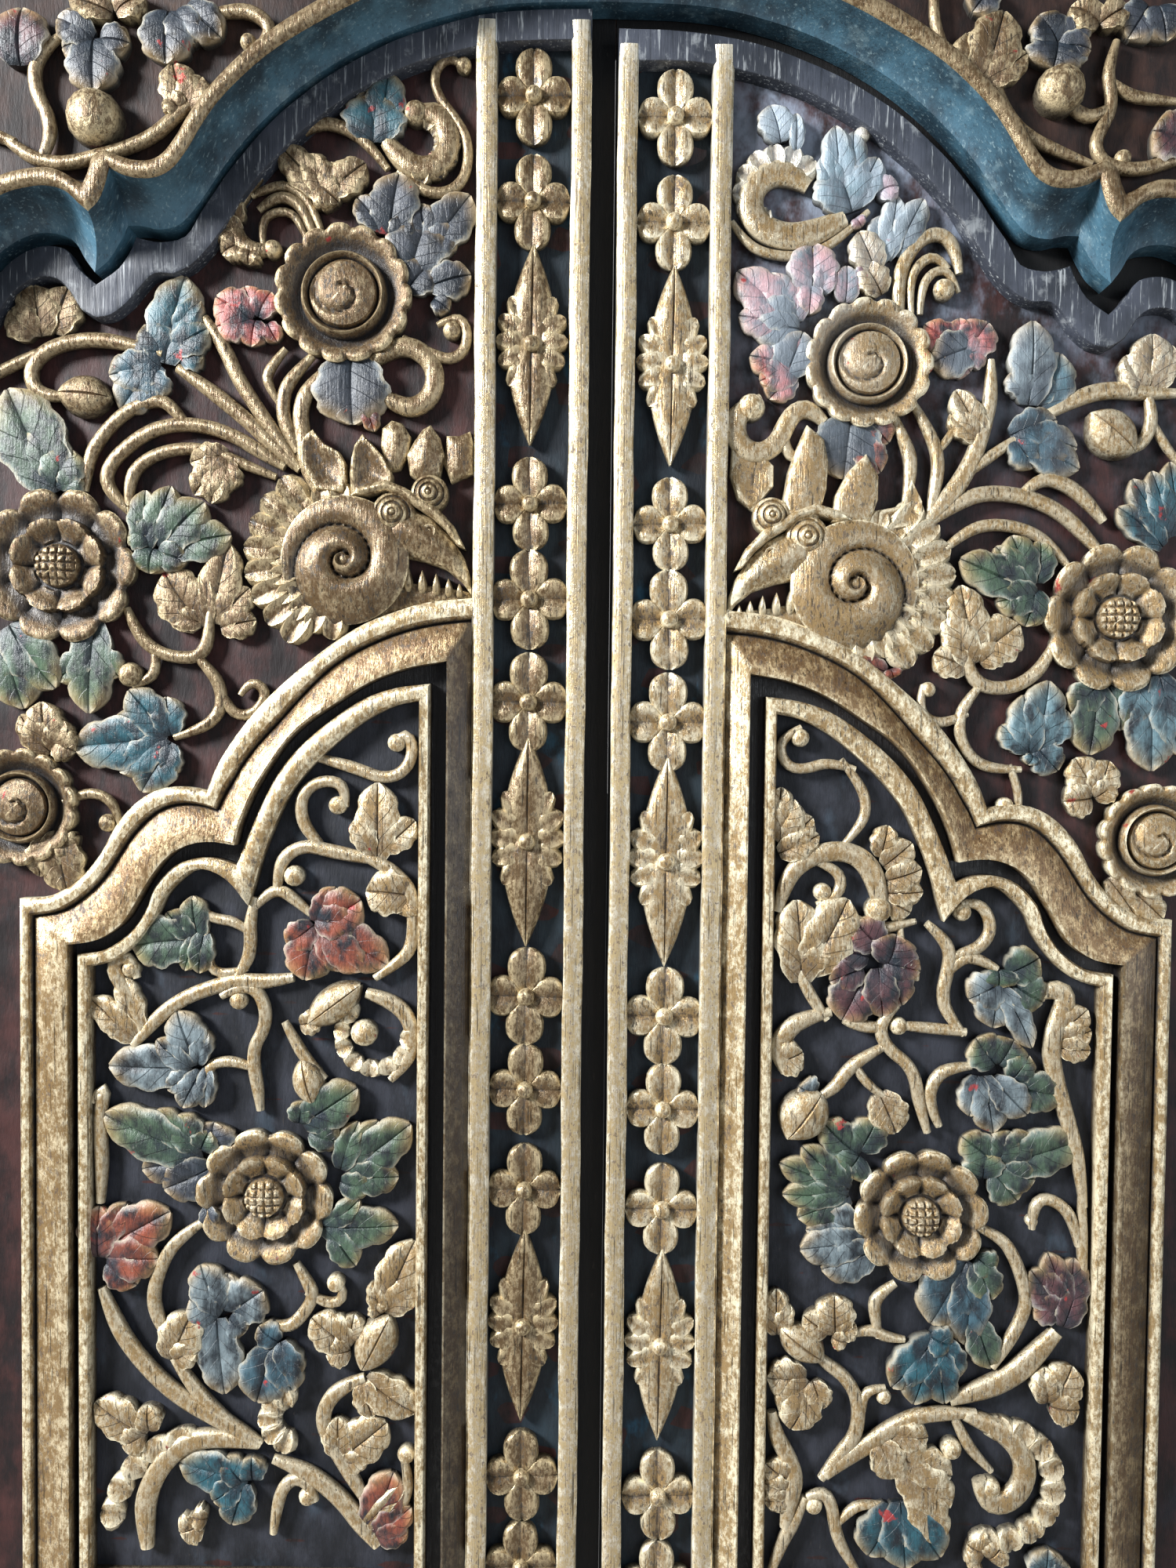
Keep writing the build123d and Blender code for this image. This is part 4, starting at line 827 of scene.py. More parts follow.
# Motifs as they lie on the face, with places across, heights and widths
leftUpper = {
    "rosettes": [(-165, 864, 44, "swirl"), (-347, 690, 50, "check"), (-373, 535, 38, "swirl")],
    "fringes": [(-118, 961, 14, 27, -100, 75, 6)],
    "buds": [(-347, 800, -313, 797, 28)],
    "balls": [(-120, 979, 8), (-211, 893, 6), (-96, 843, 6), (-302, 621, 8), (-317, 525, 6), (-99, 896, 5),
        (-90, 1010, 5)],
    "stems": [
        (7, 5, [(-128, 940), (-119, 933), (-110, 929), (-98, 930), (-89, 938), (-86, 952), (-88, 966),
            (-97, 979), (-106, 990), (-109, 1002), (-104, 1012), (-95, 1014), (-90, 1008)]),
        (13, 15, [(-121, 978), (-111, 981), (-101, 973), (-98, 960), (-103, 948), (-115, 943), (-128, 948),
            (-136, 958)]),
        (9, 7, [(-234, 917), (-222, 938), (-208, 956), (-195, 967), (-180, 973), (-165, 970), (-150, 960),
            (-140, 947)]),
        (14, 9, [(-236, 922), (-238, 908), (-232, 896), (-221, 890), (-212, 893)]),
        (5, 5, [(-217, 895), (-219, 908), (-212, 916), (-201, 917), (-194, 911), (-190, 901)]),
        (7, 7, [(-217, 920), (-210, 926), (-199, 925), (-190, 917), (-184, 900)]),
        (6, 6, [(-221, 928), (-210, 934), (-196, 931), (-185, 920), (-179, 902)]),
        (9, 9, [(-400, 806), (-380, 817), (-355, 828)]),
        (9, 9, [(-285, 827), (-305, 833), (-330, 835), (-352, 830), (-364, 820), (-366, 808), (-358, 798),
            (-346, 798)]),
        (10, 9, [(-268, 815), (-250, 803), (-235, 791), (-222, 780), (-208, 766), (-196, 756)]),
        (9, 9, [(-252, 846), (-243, 834), (-233, 811), (-221, 793), (-208, 774), (-196, 758)]),
        (8, 8, [(-331, 742), (-329, 760), (-320, 774), (-308, 787), (-294, 795), (-281, 797), (-273, 790),
            (-267, 783)]),
        (8, 9, [(-305, 728), (-312, 735), (-318, 745), (-315, 756), (-303, 768), (-288, 778), (-270, 782),
            (-250, 780), (-232, 773), (-218, 764), (-206, 757)]),
        (8, 7, [(-303, 733), (-303, 745), (-296, 756), (-282, 764), (-262, 767), (-245, 763), (-228, 756),
            (-212, 750)]),
        (7, 6, [(-205, 827), (-213, 818), (-215, 808), (-209, 799)]),
        (8, 9, [(-188, 823), (-199, 812), (-204, 800), (-204, 788), (-200, 776), (-196, 768)]),
        (9, 11, [(-177, 816), (-188, 806), (-193, 792), (-192, 780), (-190, 768), (-189, 756), (-184, 744)]),
        (12, 12, [(-144, 824), (-134, 832), (-120, 832), (-108, 822), (-106, 808), (-113, 796), (-128, 792),
            (-141, 802)]),
        (7, 6, [(-124, 836), (-108, 827), (-96, 824), (-87, 831), (-86, 844), (-93, 853), (-102, 848)]),
        (8, 8, [(-303, 660), (-298, 648), (-286, 636), (-270, 632), (-257, 633), (-251, 645), (-251, 658)]),
        (7, 6, [(-286, 634), (-285, 625), (-290, 618), (-297, 615)]),
        (8, 7, [(-258, 632), (-248, 622), (-243, 610), (-244, 598), (-254, 587), (-270, 582)]),
        (7, 6, [(-245, 612), (-240, 602), (-232, 595), (-222, 597), (-215, 606), (-216, 614), (-225, 618),
            (-229, 612)]),
        (7, 6, [(-342, 540), (-333, 544), (-322, 544), (-312, 537), (-310, 528)]),
    ],
    "leaves": [
        ("teal", [(-143, 962, -152, 993, 16), (-142, 965, -136, 1004, 19), (-142, 963, -130, 980, 14),
            (-147, 960, -145, 989, 30)]),
        ("gold", [(-174, 924, -206, 956, 17), (-174, 926, -189, 951, 16), (-172, 926, -175, 947, 14),
            (-174, 928, -151, 946, 17), (-184, 934, -168, 922, 17)]),
        ("slate", [(-136, 902, -131, 941, 24), (-140, 906, -157, 925, 14), (-132, 898, -124, 914, 13)]),
        ("slate", [(-112, 893, -84, 927, 22), (-113, 900, -117, 922, 15), (-112, 896, -93, 903, 16)]),
        ("slate", [(-122, 880, -114, 910, 30), (-125, 868, -111, 884, 20)]),
        ("slate", [(-110, 870, -84, 877, 18), (-108, 862, -98, 855, 10)]),
        ("gold", [(-230, 902, -248, 906, 15), (-230, 896, -243, 889, 13), (-224, 892, -226, 882, 11),
            (-232, 908, -240, 925, 12)]),
        ("pink", [(-224, 848, -247, 862, 19), (-222, 850, -229, 869, 14), (-220, 850, -212, 866, 14),
            (-225, 848, -247, 843, 18), (-222, 848, -224, 831, 14), (-214, 846, -208, 834, 10)]),
        ("teal", [(-280, 820, -267, 875, 26), (-280, 826, -291, 845, 17), (-274, 828, -251, 842, 17),
            (-270, 822, -255, 826, 14), (-272, 840, -256, 860, 12)]),
        ("blue", [(-282, 820, -304, 826, 18), (-282, 818, -315, 811, 20), (-284, 820, -309, 791, 22),
            (-288, 815, -283, 797, 15)]),
        ("slate", [(-160, 826, -160, 782, 36)]),
        ("rust", [(-168, 812, -176, 800, 13), (-165, 800, -171, 787, 13), (-152, 812, -141, 800, 13),
            (-150, 796, -146, 778, 9)]),
        ("gold", [(-350, 838, -340, 867, 20), (-358, 836, -362, 868, 22), (-362, 836, -378, 852, 18)]),
        ("moss", [(-348, 738, -381, 802, 34), (-350, 740, -340, 765, 22), (-352, 742, -356, 782, 22),
            (-344, 738, -334, 750, 14)]),
        ("gold", [(-238, 762, -263, 757, 15), (-240, 760, -261, 737, 17), (-242, 758, -249, 731, 15),
            (-240, 758, -237, 740, 13)]),
        ("moss", [(-292, 702, -291, 739, 17), (-286, 705, -276, 742, 17), (-282, 702, -255, 733, 22),
            (-278, 702, -237, 712, 20), (-284, 700, -265, 694, 15), (-287, 702, -290, 686, 18),
            (-288, 708, -302, 714, 16)]),
        ("gold", [(-256, 652, -281, 686, 25), (-256, 655, -277, 659, 12), (-251, 655, -254, 690, 9),
            (-250, 655, -238, 706, 20), (-246, 655, -226, 678, 17), (-244, 652, -221, 657, 15)]),
        ("teal", [(-278, 580, -339, 574, 25), (-278, 582, -313, 593, 16), (-280, 578, -309, 558, 17),
            (-278, 582, -302, 612, 19), (-276, 582, -279, 607, 17), (-276, 578, -294, 545, 21),
            (-275, 576, -278, 556, 12)]),
        ("moss", [(-325, 655, -330, 596, 23), (-326, 636, -349, 616, 15), (-324, 636, -309, 620, 15)]),
        ("moss", [(-380, 652, -351, 611, 24), (-382, 645, -372, 598, 24), (-386, 640, -390, 610, 20)]),
        ("gold", [(-353, 570, -373, 594, 15), (-355, 572, -358, 603, 19), (-350, 572, -346, 592, 15),
            (-350, 578, -337, 571, 16)]),
        ("gold", [(-350, 520, -343, 480, 22), (-354, 515, -361, 490, 18), (-350, 515, -337, 507, 14)]),
    ],
}
leftPanel = {
    "rosettes": [(-214, 282, 45, "check")],
    "fringes": [(-143, 388, 19, 27, -235, 10, 8), (-195, 133, 12, 24, 95, 265, 5),
        (-255, 60, 56, 68, 95, 180, 5)],
    "buds": [(-186, 396, -152, 422, 24), (-190, 372, -182, 343, 22), (-150, 168, -132, 204, 28)],
    "balls": [(-130, 579, 6), (-168, 538, 6), (-196, 492, 7), (-302, 430, 6), (-232, 410, 6),
        (-168, 224, 6), (-186, 81, 6), (-121, 110, 6), (-150, 390, 9)],
    "stems": [
        (8, 7, [(-178, 568), (-165, 565), (-150, 560), (-140, 556), (-128, 558), (-120, 568), (-120, 580),
            (-126, 586), (-130, 580)]),
        (7, 8, [(-163, 541), (-163, 549), (-170, 554), (-182, 553), (-191, 545), (-192, 532), (-187, 520),
            (-178, 511)]),
        (8, 9, [(-207, 485), (-206, 497), (-200, 507), (-188, 512), (-175, 509), (-160, 506), (-145, 503)]),
        (9, 8, [(-150, 505), (-138, 500), (-128, 492), (-120, 483), (-118, 465), (-119, 448), (-125, 438),
            (-140, 428)]),
        (7, 8, [(-221, 472), (-214, 480), (-205, 483), (-197, 478), (-188, 470)]),
        (8, 8, [(-222, 474), (-225, 462), (-224, 448), (-226, 435), (-232, 427)]),
        (7, 6, [(-226, 456), (-234, 462), (-245, 463), (-254, 466), (-259, 474)]),
        (6, 6, [(-253, 454), (-252, 440), (-250, 430), (-240, 427), (-230, 430)]),
        (9, 10, [(-298, 383), (-288, 395), (-276, 406), (-262, 414), (-248, 419), (-232, 424), (-215, 422),
            (-200, 425)]),
        (8, 8, [(-240, 415), (-232, 420), (-220, 418), (-214, 405), (-215, 392), (-222, 380), (-222, 366),
            (-219, 352), (-218, 342)]),
        (7, 7, [(-222, 366), (-232, 370), (-245, 370), (-252, 366), (-254, 352)]),
        (10, 8, [(-295, 392), (-300, 408), (-308, 420), (-314, 430), (-310, 438), (-301, 436), (-299, 428)]),
        (8, 9, [(-325, 346), (-318, 356), (-322, 340), (-322, 320), (-321, 298), (-322, 280)]),
        (11, 8, [(-145, 415), (-134, 412), (-122, 402), (-118, 388), (-120, 372), (-130, 362)]),
        (8, 7, [(-200, 393), (-194, 382), (-188, 372), (-178, 362)]),
        (8, 9, [(-258, 262), (-268, 255), (-278, 244), (-285, 228), (-288, 212), (-284, 198), (-280, 190)]),
        (10, 11, [(-320, 216), (-314, 200), (-304, 182), (-290, 165), (-274, 150), (-255, 138), (-235, 128),
            (-220, 118)]),
        (9, 9, [(-272, 170), (-264, 158), (-252, 143), (-240, 134)]),
        (12, 14, [(-222, 117), (-245, 121), (-265, 118), (-280, 105), (-290, 88), (-294, 70), (-292, 50)]),
        (8, 8, [(-192, 234), (-186, 224), (-182, 215), (-190, 202), (-200, 193), (-212, 196)]),
        (7, 6, [(-184, 216), (-176, 211), (-166, 211), (-162, 218), (-166, 225)]),
        (10, 9, [(-152, 160), (-165, 155), (-175, 142), (-176, 130), (-170, 117), (-163, 105), (-155, 92),
            (-147, 78)]),
        (10, 12, [(-205, 105), (-190, 100), (-175, 90), (-160, 76), (-150, 62), (-142, 52)]),
        (8, 8, [(-208, 60), (-206, 75), (-202, 88), (-194, 94), (-185, 90), (-182, 82)]),
        (7, 7, [(-122, 105), (-119, 95), (-121, 80), (-130, 68), (-140, 60)]),
    ],
    "leaves": [
        ("gold", [(-142, 503, -141, 553, 21), (-146, 508, -155, 530, 13), (-138, 510, -117, 528, 15)]),
        ("gold", [(-120, 480, -149, 484, 22), (-122, 478, -128, 468, 16)]),
        ("rust", [(-182, 462, -169, 485, 13), (-180, 460, -152, 476, 24), (-182, 464, -158, 462, 18)]),
        ("rust", [(-183, 460, -200, 446, 16), (-182, 460, -189, 424, 24)]),
        ("rust", [(-180, 462, -135, 434, 22), (-178, 458, -166, 430, 14), (-176, 458, -152, 430, 18)]),
        ("moss", [(-262, 450, -301, 447, 25), (-262, 452, -278, 468, 13), (-258, 450, -263, 478, 15),
            (-258, 452, -268, 430, 11), (-254, 455, -258, 428, 13)]),
        ("gold", [(-298, 384, -328, 412, 15), (-298, 384, -322, 402, 13), (-296, 386, -308, 425, 14)]),
        ("mist", [(-258, 368, -272, 403, 20), (-258, 368, -253, 391, 11), (-262, 366, -285, 384, 12),
            (-262, 366, -316, 366, 22), (-262, 362, -278, 352, 12), (-256, 364, -268, 340, 14),
            (-252, 366, -253, 340, 10)]),
        ("moss", [(-258, 308, -319, 335, 24), (-262, 312, -285, 338, 15), (-258, 312, -272, 335, 18),
            (-256, 312, -250, 325, 14)]),
        ("slate", [(-255, 306, -295, 300, 20), (-250, 300, -280, 285, 22), (-250, 312, -248, 330, 24)]),
        ("moss", [(-192, 330, -189, 345, 13), (-190, 330, -154, 354, 22), (-185, 325, -165, 318, 14)]),
        ("moss", [(-165, 300, -154, 332, 14), (-162, 300, -142, 333, 14), (-162, 298, -119, 330, 22),
            (-160, 295, -127, 296, 18), (-165, 292, -145, 288, 14)]),
        ("moss", [(-178, 262, -127, 262, 20), (-170, 265, -152, 280, 12), (-170, 258, -154, 237, 15)]),
        ("gold", [(-192, 395, -178, 398, 12)]),
        ("rust", [(-322, 245, -277, 272, 24), (-318, 240, -284, 240, 22), (-316, 238, -298, 222, 18),
            (-320, 250, -305, 276, 14), (-324, 240, -322, 274, 20)]),
        ("mist", [(-245, 200, -264, 212, 20), (-244, 205, -256, 236, 20), (-242, 205, -238, 230, 20),
            (-246, 200, -240, 150, 22), (-236, 205, -216, 220, 24), (-238, 200, -226, 192, 16)]),
        ("gold", [(-276, 172, -262, 204, 22), (-274, 172, -259, 182, 14)]),
        ("blue", [(-205, 185, -218, 196, 14), (-208, 182, -220, 145, 26), (-206, 182, -196, 152, 18),
            (-204, 185, -192, 162, 14)]),
        ("gold", [(-292, 122, -326, 143, 20), (-294, 122, -308, 115, 15), (-290, 124, -291, 142, 14)]),
        ("teal", [(-225, 92, -270, 104, 20), (-228, 90, -240, 108, 14), (-222, 92, -222, 108, 14),
            (-232, 90, -248, 78, 16), (-228, 90, -235, 62, 18)]),
        ("gold", [(-136, 205, -118, 254, 22), (-138, 205, -143, 226, 10), (-134, 205, -117, 228, 16),
            (-138, 204, -143, 212, 10)]),
        ("gold", [(-158, 182, -183, 202, 20), (-158, 180, -174, 178, 15), (-158, 186, -156, 204, 13)]),
        ("gold", [(-150, 160, -143, 136, 14), (-148, 162, -116, 138, 20)]),
        ("gold", [(-165, 108, -166, 135, 16), (-166, 106, -134, 132, 22), (-164, 104, -146, 108, 12)]),
        ("rust", [(-145, 58, -128, 98, 22), (-142, 56, -118, 76, 16), (-140, 54, -120, 62, 14)]),
        ("gold", [(-150, 60, -122, 92, 10)]),
        ("slate", [(-252, 275, -248, 262, 10)]),
        ("gold", [(-256, 62, -270, 56, 16), (-252, 66, -262, 68, 12)]),
    ],
}
rightUpper = {
    "rosettes": [(170, 836, 41, "swirl"), (333, 676, 48, "check"), (361, 533, 37, "swirl")],
    "fringes": [(112, 944, 17, 30, 30, 250, 8)],
    "buds": [(341, 782, 312, 806, 32)],
    "balls": [(96, 808, 9), (218, 884, 7), (213, 629, 5), (264, 554, 6), (164, 981, 5)],
    "stems": [
        (15, 17, [(127, 950), (118, 956), (104, 955), (94, 945), (93, 931), (102, 920), (118, 915),
            (135, 918), (150, 926)]),
        (6, 6, [(84, 922), (91, 911), (108, 904), (130, 904), (150, 914), (166, 930)]),
        (9, 8, [(190, 866), (188, 885), (192, 902), (202, 916), (215, 920), (225, 911), (227, 898)]),
        (6, 6, [(197, 872), (195, 888), (202, 901), (213, 906), (218, 900)]),
        (6, 5, [(203, 872), (203, 885), (211, 896), (222, 896), (226, 886)]),
        (14, 11, [(99, 811), (88, 806), (85, 794), (90, 782), (102, 778), (113, 785), (118, 797),
            (124, 806), (134, 808), (140, 802)]),
        (7, 7, [(117, 795), (117, 784), (123, 776), (131, 777), (134, 785)]),
        (8, 9, [(188, 802), (196, 786), (200, 770), (197, 752)]),
        (8, 8, [(202, 808), (212, 792), (217, 775), (215, 758), (212, 744)]),
        (7, 6, [(216, 782), (223, 787), (226, 796)]),
        (13, 8, [(211, 738), (222, 750), (232, 764), (240, 780), (246, 800), (250, 820), (249, 836)]),
        (10, 8, [(238, 770), (250, 779), (263, 788)]),
        (10, 9, [(214, 738), (232, 751), (250, 756), (275, 753), (295, 744), (309, 732), (320, 720)]),
        (8, 7, [(225, 722), (236, 732), (255, 736), (275, 732), (290, 723), (299, 712)]),
        (9, 9, [(272, 756), (281, 766), (298, 762), (312, 752), (321, 741)]),
        (11, 10, [(290, 808), (305, 817), (325, 822), (345, 820), (364, 820)]),
        (8, 8, [(350, 818), (354, 806), (350, 792), (342, 784), (335, 784)]),
        (7, 7, [(354, 800), (360, 788), (368, 779)]),
        (9, 8, [(236, 656), (238, 641), (248, 631), (262, 630), (275, 634), (288, 646), (292, 656)]),
        (7, 7, [(245, 630), (236, 620), (233, 606), (236, 593), (244, 583), (256, 578), (270, 578)]),
        (7, 6, [(268, 577), (275, 564), (273, 551)]),
        (7, 6, [(235, 612), (225, 607), (213, 609), (207, 618), (209, 628)]),
    ],
    "leaves": [
        ("mist", [(112, 975, 106, 998, 17), (122, 970, 122, 993, 8)]),
        ("teal", [(152, 940, 145, 985, 16), (156, 938, 158, 982, 16), (160, 936, 173, 966, 16),
            (150, 942, 138, 966, 13), (158, 932, 148, 960, 30)]),
        ("red", [(173, 944, 187, 949, 13), (160, 928, 164, 922, 8), (155, 875, 156, 898, 14),
            (162, 890, 168, 895, 8)]),
        ("mist", [(180, 902, 188, 942, 14), (186, 905, 203, 941, 15), (176, 900, 178, 930, 15)]),
        ("gold", [(174, 894, 162, 919, 17), (178, 880, 166, 900, 16)]),
        ("pink", [(134, 880, 133, 912, 24), (139, 880, 144, 898, 12), (133, 886, 131, 867, 13)]),
        ("pink", [(122, 860, 87, 895, 22), (120, 862, 107, 893, 18), (120, 858, 87, 866, 17),
            (124, 862, 118, 886, 16)]),
        ("slate", [(126, 858, 96, 858, 18), (122, 862, 100, 872, 18)]),
        ("pink", [(125, 832, 95, 842, 17), (125, 834, 111, 853, 18), (125, 832, 101, 825, 17),
            (122, 830, 108, 813, 15)]),
        ("slate", [(118, 828, 128, 856, 22)]),
        ("slate", [(160, 802, 155, 763, 36)]),
        ("rust", [(170, 800, 184, 786, 17), (165, 785, 180, 768, 17)]),
        ("gold", [(244, 788, 226, 820, 15), (242, 788, 224, 806, 13)]),
        ("blue", [(262, 792, 291, 803, 18), (264, 790, 305, 786, 20), (266, 788, 307, 772, 18),
            (264, 790, 277, 771, 15)]),
        ("mist", [(273, 811, 276, 864, 22), (272, 816, 263, 833, 14)]),
        ("teal", [(280, 810, 294, 844, 24), (278, 812, 284, 832, 16)]),
        ("pink", [(228, 845, 206, 862, 16), (230, 845, 228, 866, 14), (232, 842, 246, 864, 20),
            (230, 842, 246, 846, 16), (226, 840, 236, 832, 14), (226, 842, 222, 828, 12)]),
        ("slate", [(238, 848, 210, 838, 22)]),
        ("gold", [(346, 820, 334, 843, 13), (350, 820, 351, 857, 22), (354, 822, 364, 850, 14)]),
        ("teal", [(362, 722, 333, 748, 15), (363, 726, 341, 765, 15), (366, 728, 353, 770, 15),
            (370, 730, 364, 776, 14)]),
        ("moss", [(278, 692, 231, 712, 20), (278, 695, 254, 721, 15), (275, 698, 264, 728, 18),
            (281, 698, 283, 725, 16), (282, 690, 255, 686, 18), (280, 694, 274, 670, 18)]),
        ("gold", [(241, 648, 232, 696, 21), (243, 650, 270, 672, 24), (240, 645, 225, 678, 17),
            (238, 643, 216, 652, 17), (246, 646, 259, 658, 15)]),
        ("sky", [(279, 588, 273, 626, 18), (282, 590, 292, 635, 22), (277, 590, 261, 607, 14),
            (284, 592, 297, 577, 17), (281, 588, 278, 581, 8), (288, 596, 303, 616, 16)]),
        ("moss", [(323, 634, 305, 616, 17), (322, 632, 318, 588, 23), (330, 632, 338, 604, 15)]),
        ("sky", [(350, 636, 343, 606, 18), (356, 636, 358, 578, 25), (362, 640, 374, 588, 20)]),
        ("gold", [(322, 562, 309, 586, 18), (322, 562, 331, 584, 17), (320, 560, 302, 557, 17),
            (322, 560, 334, 570, 13)]),
        ("gold", [(348, 500, 368, 482, 15), (332, 508, 350, 484, 13)]),
        ("rust", [(186, 640, 164, 646, 12), (188, 642, 190, 636, 10)]),
    ],
}
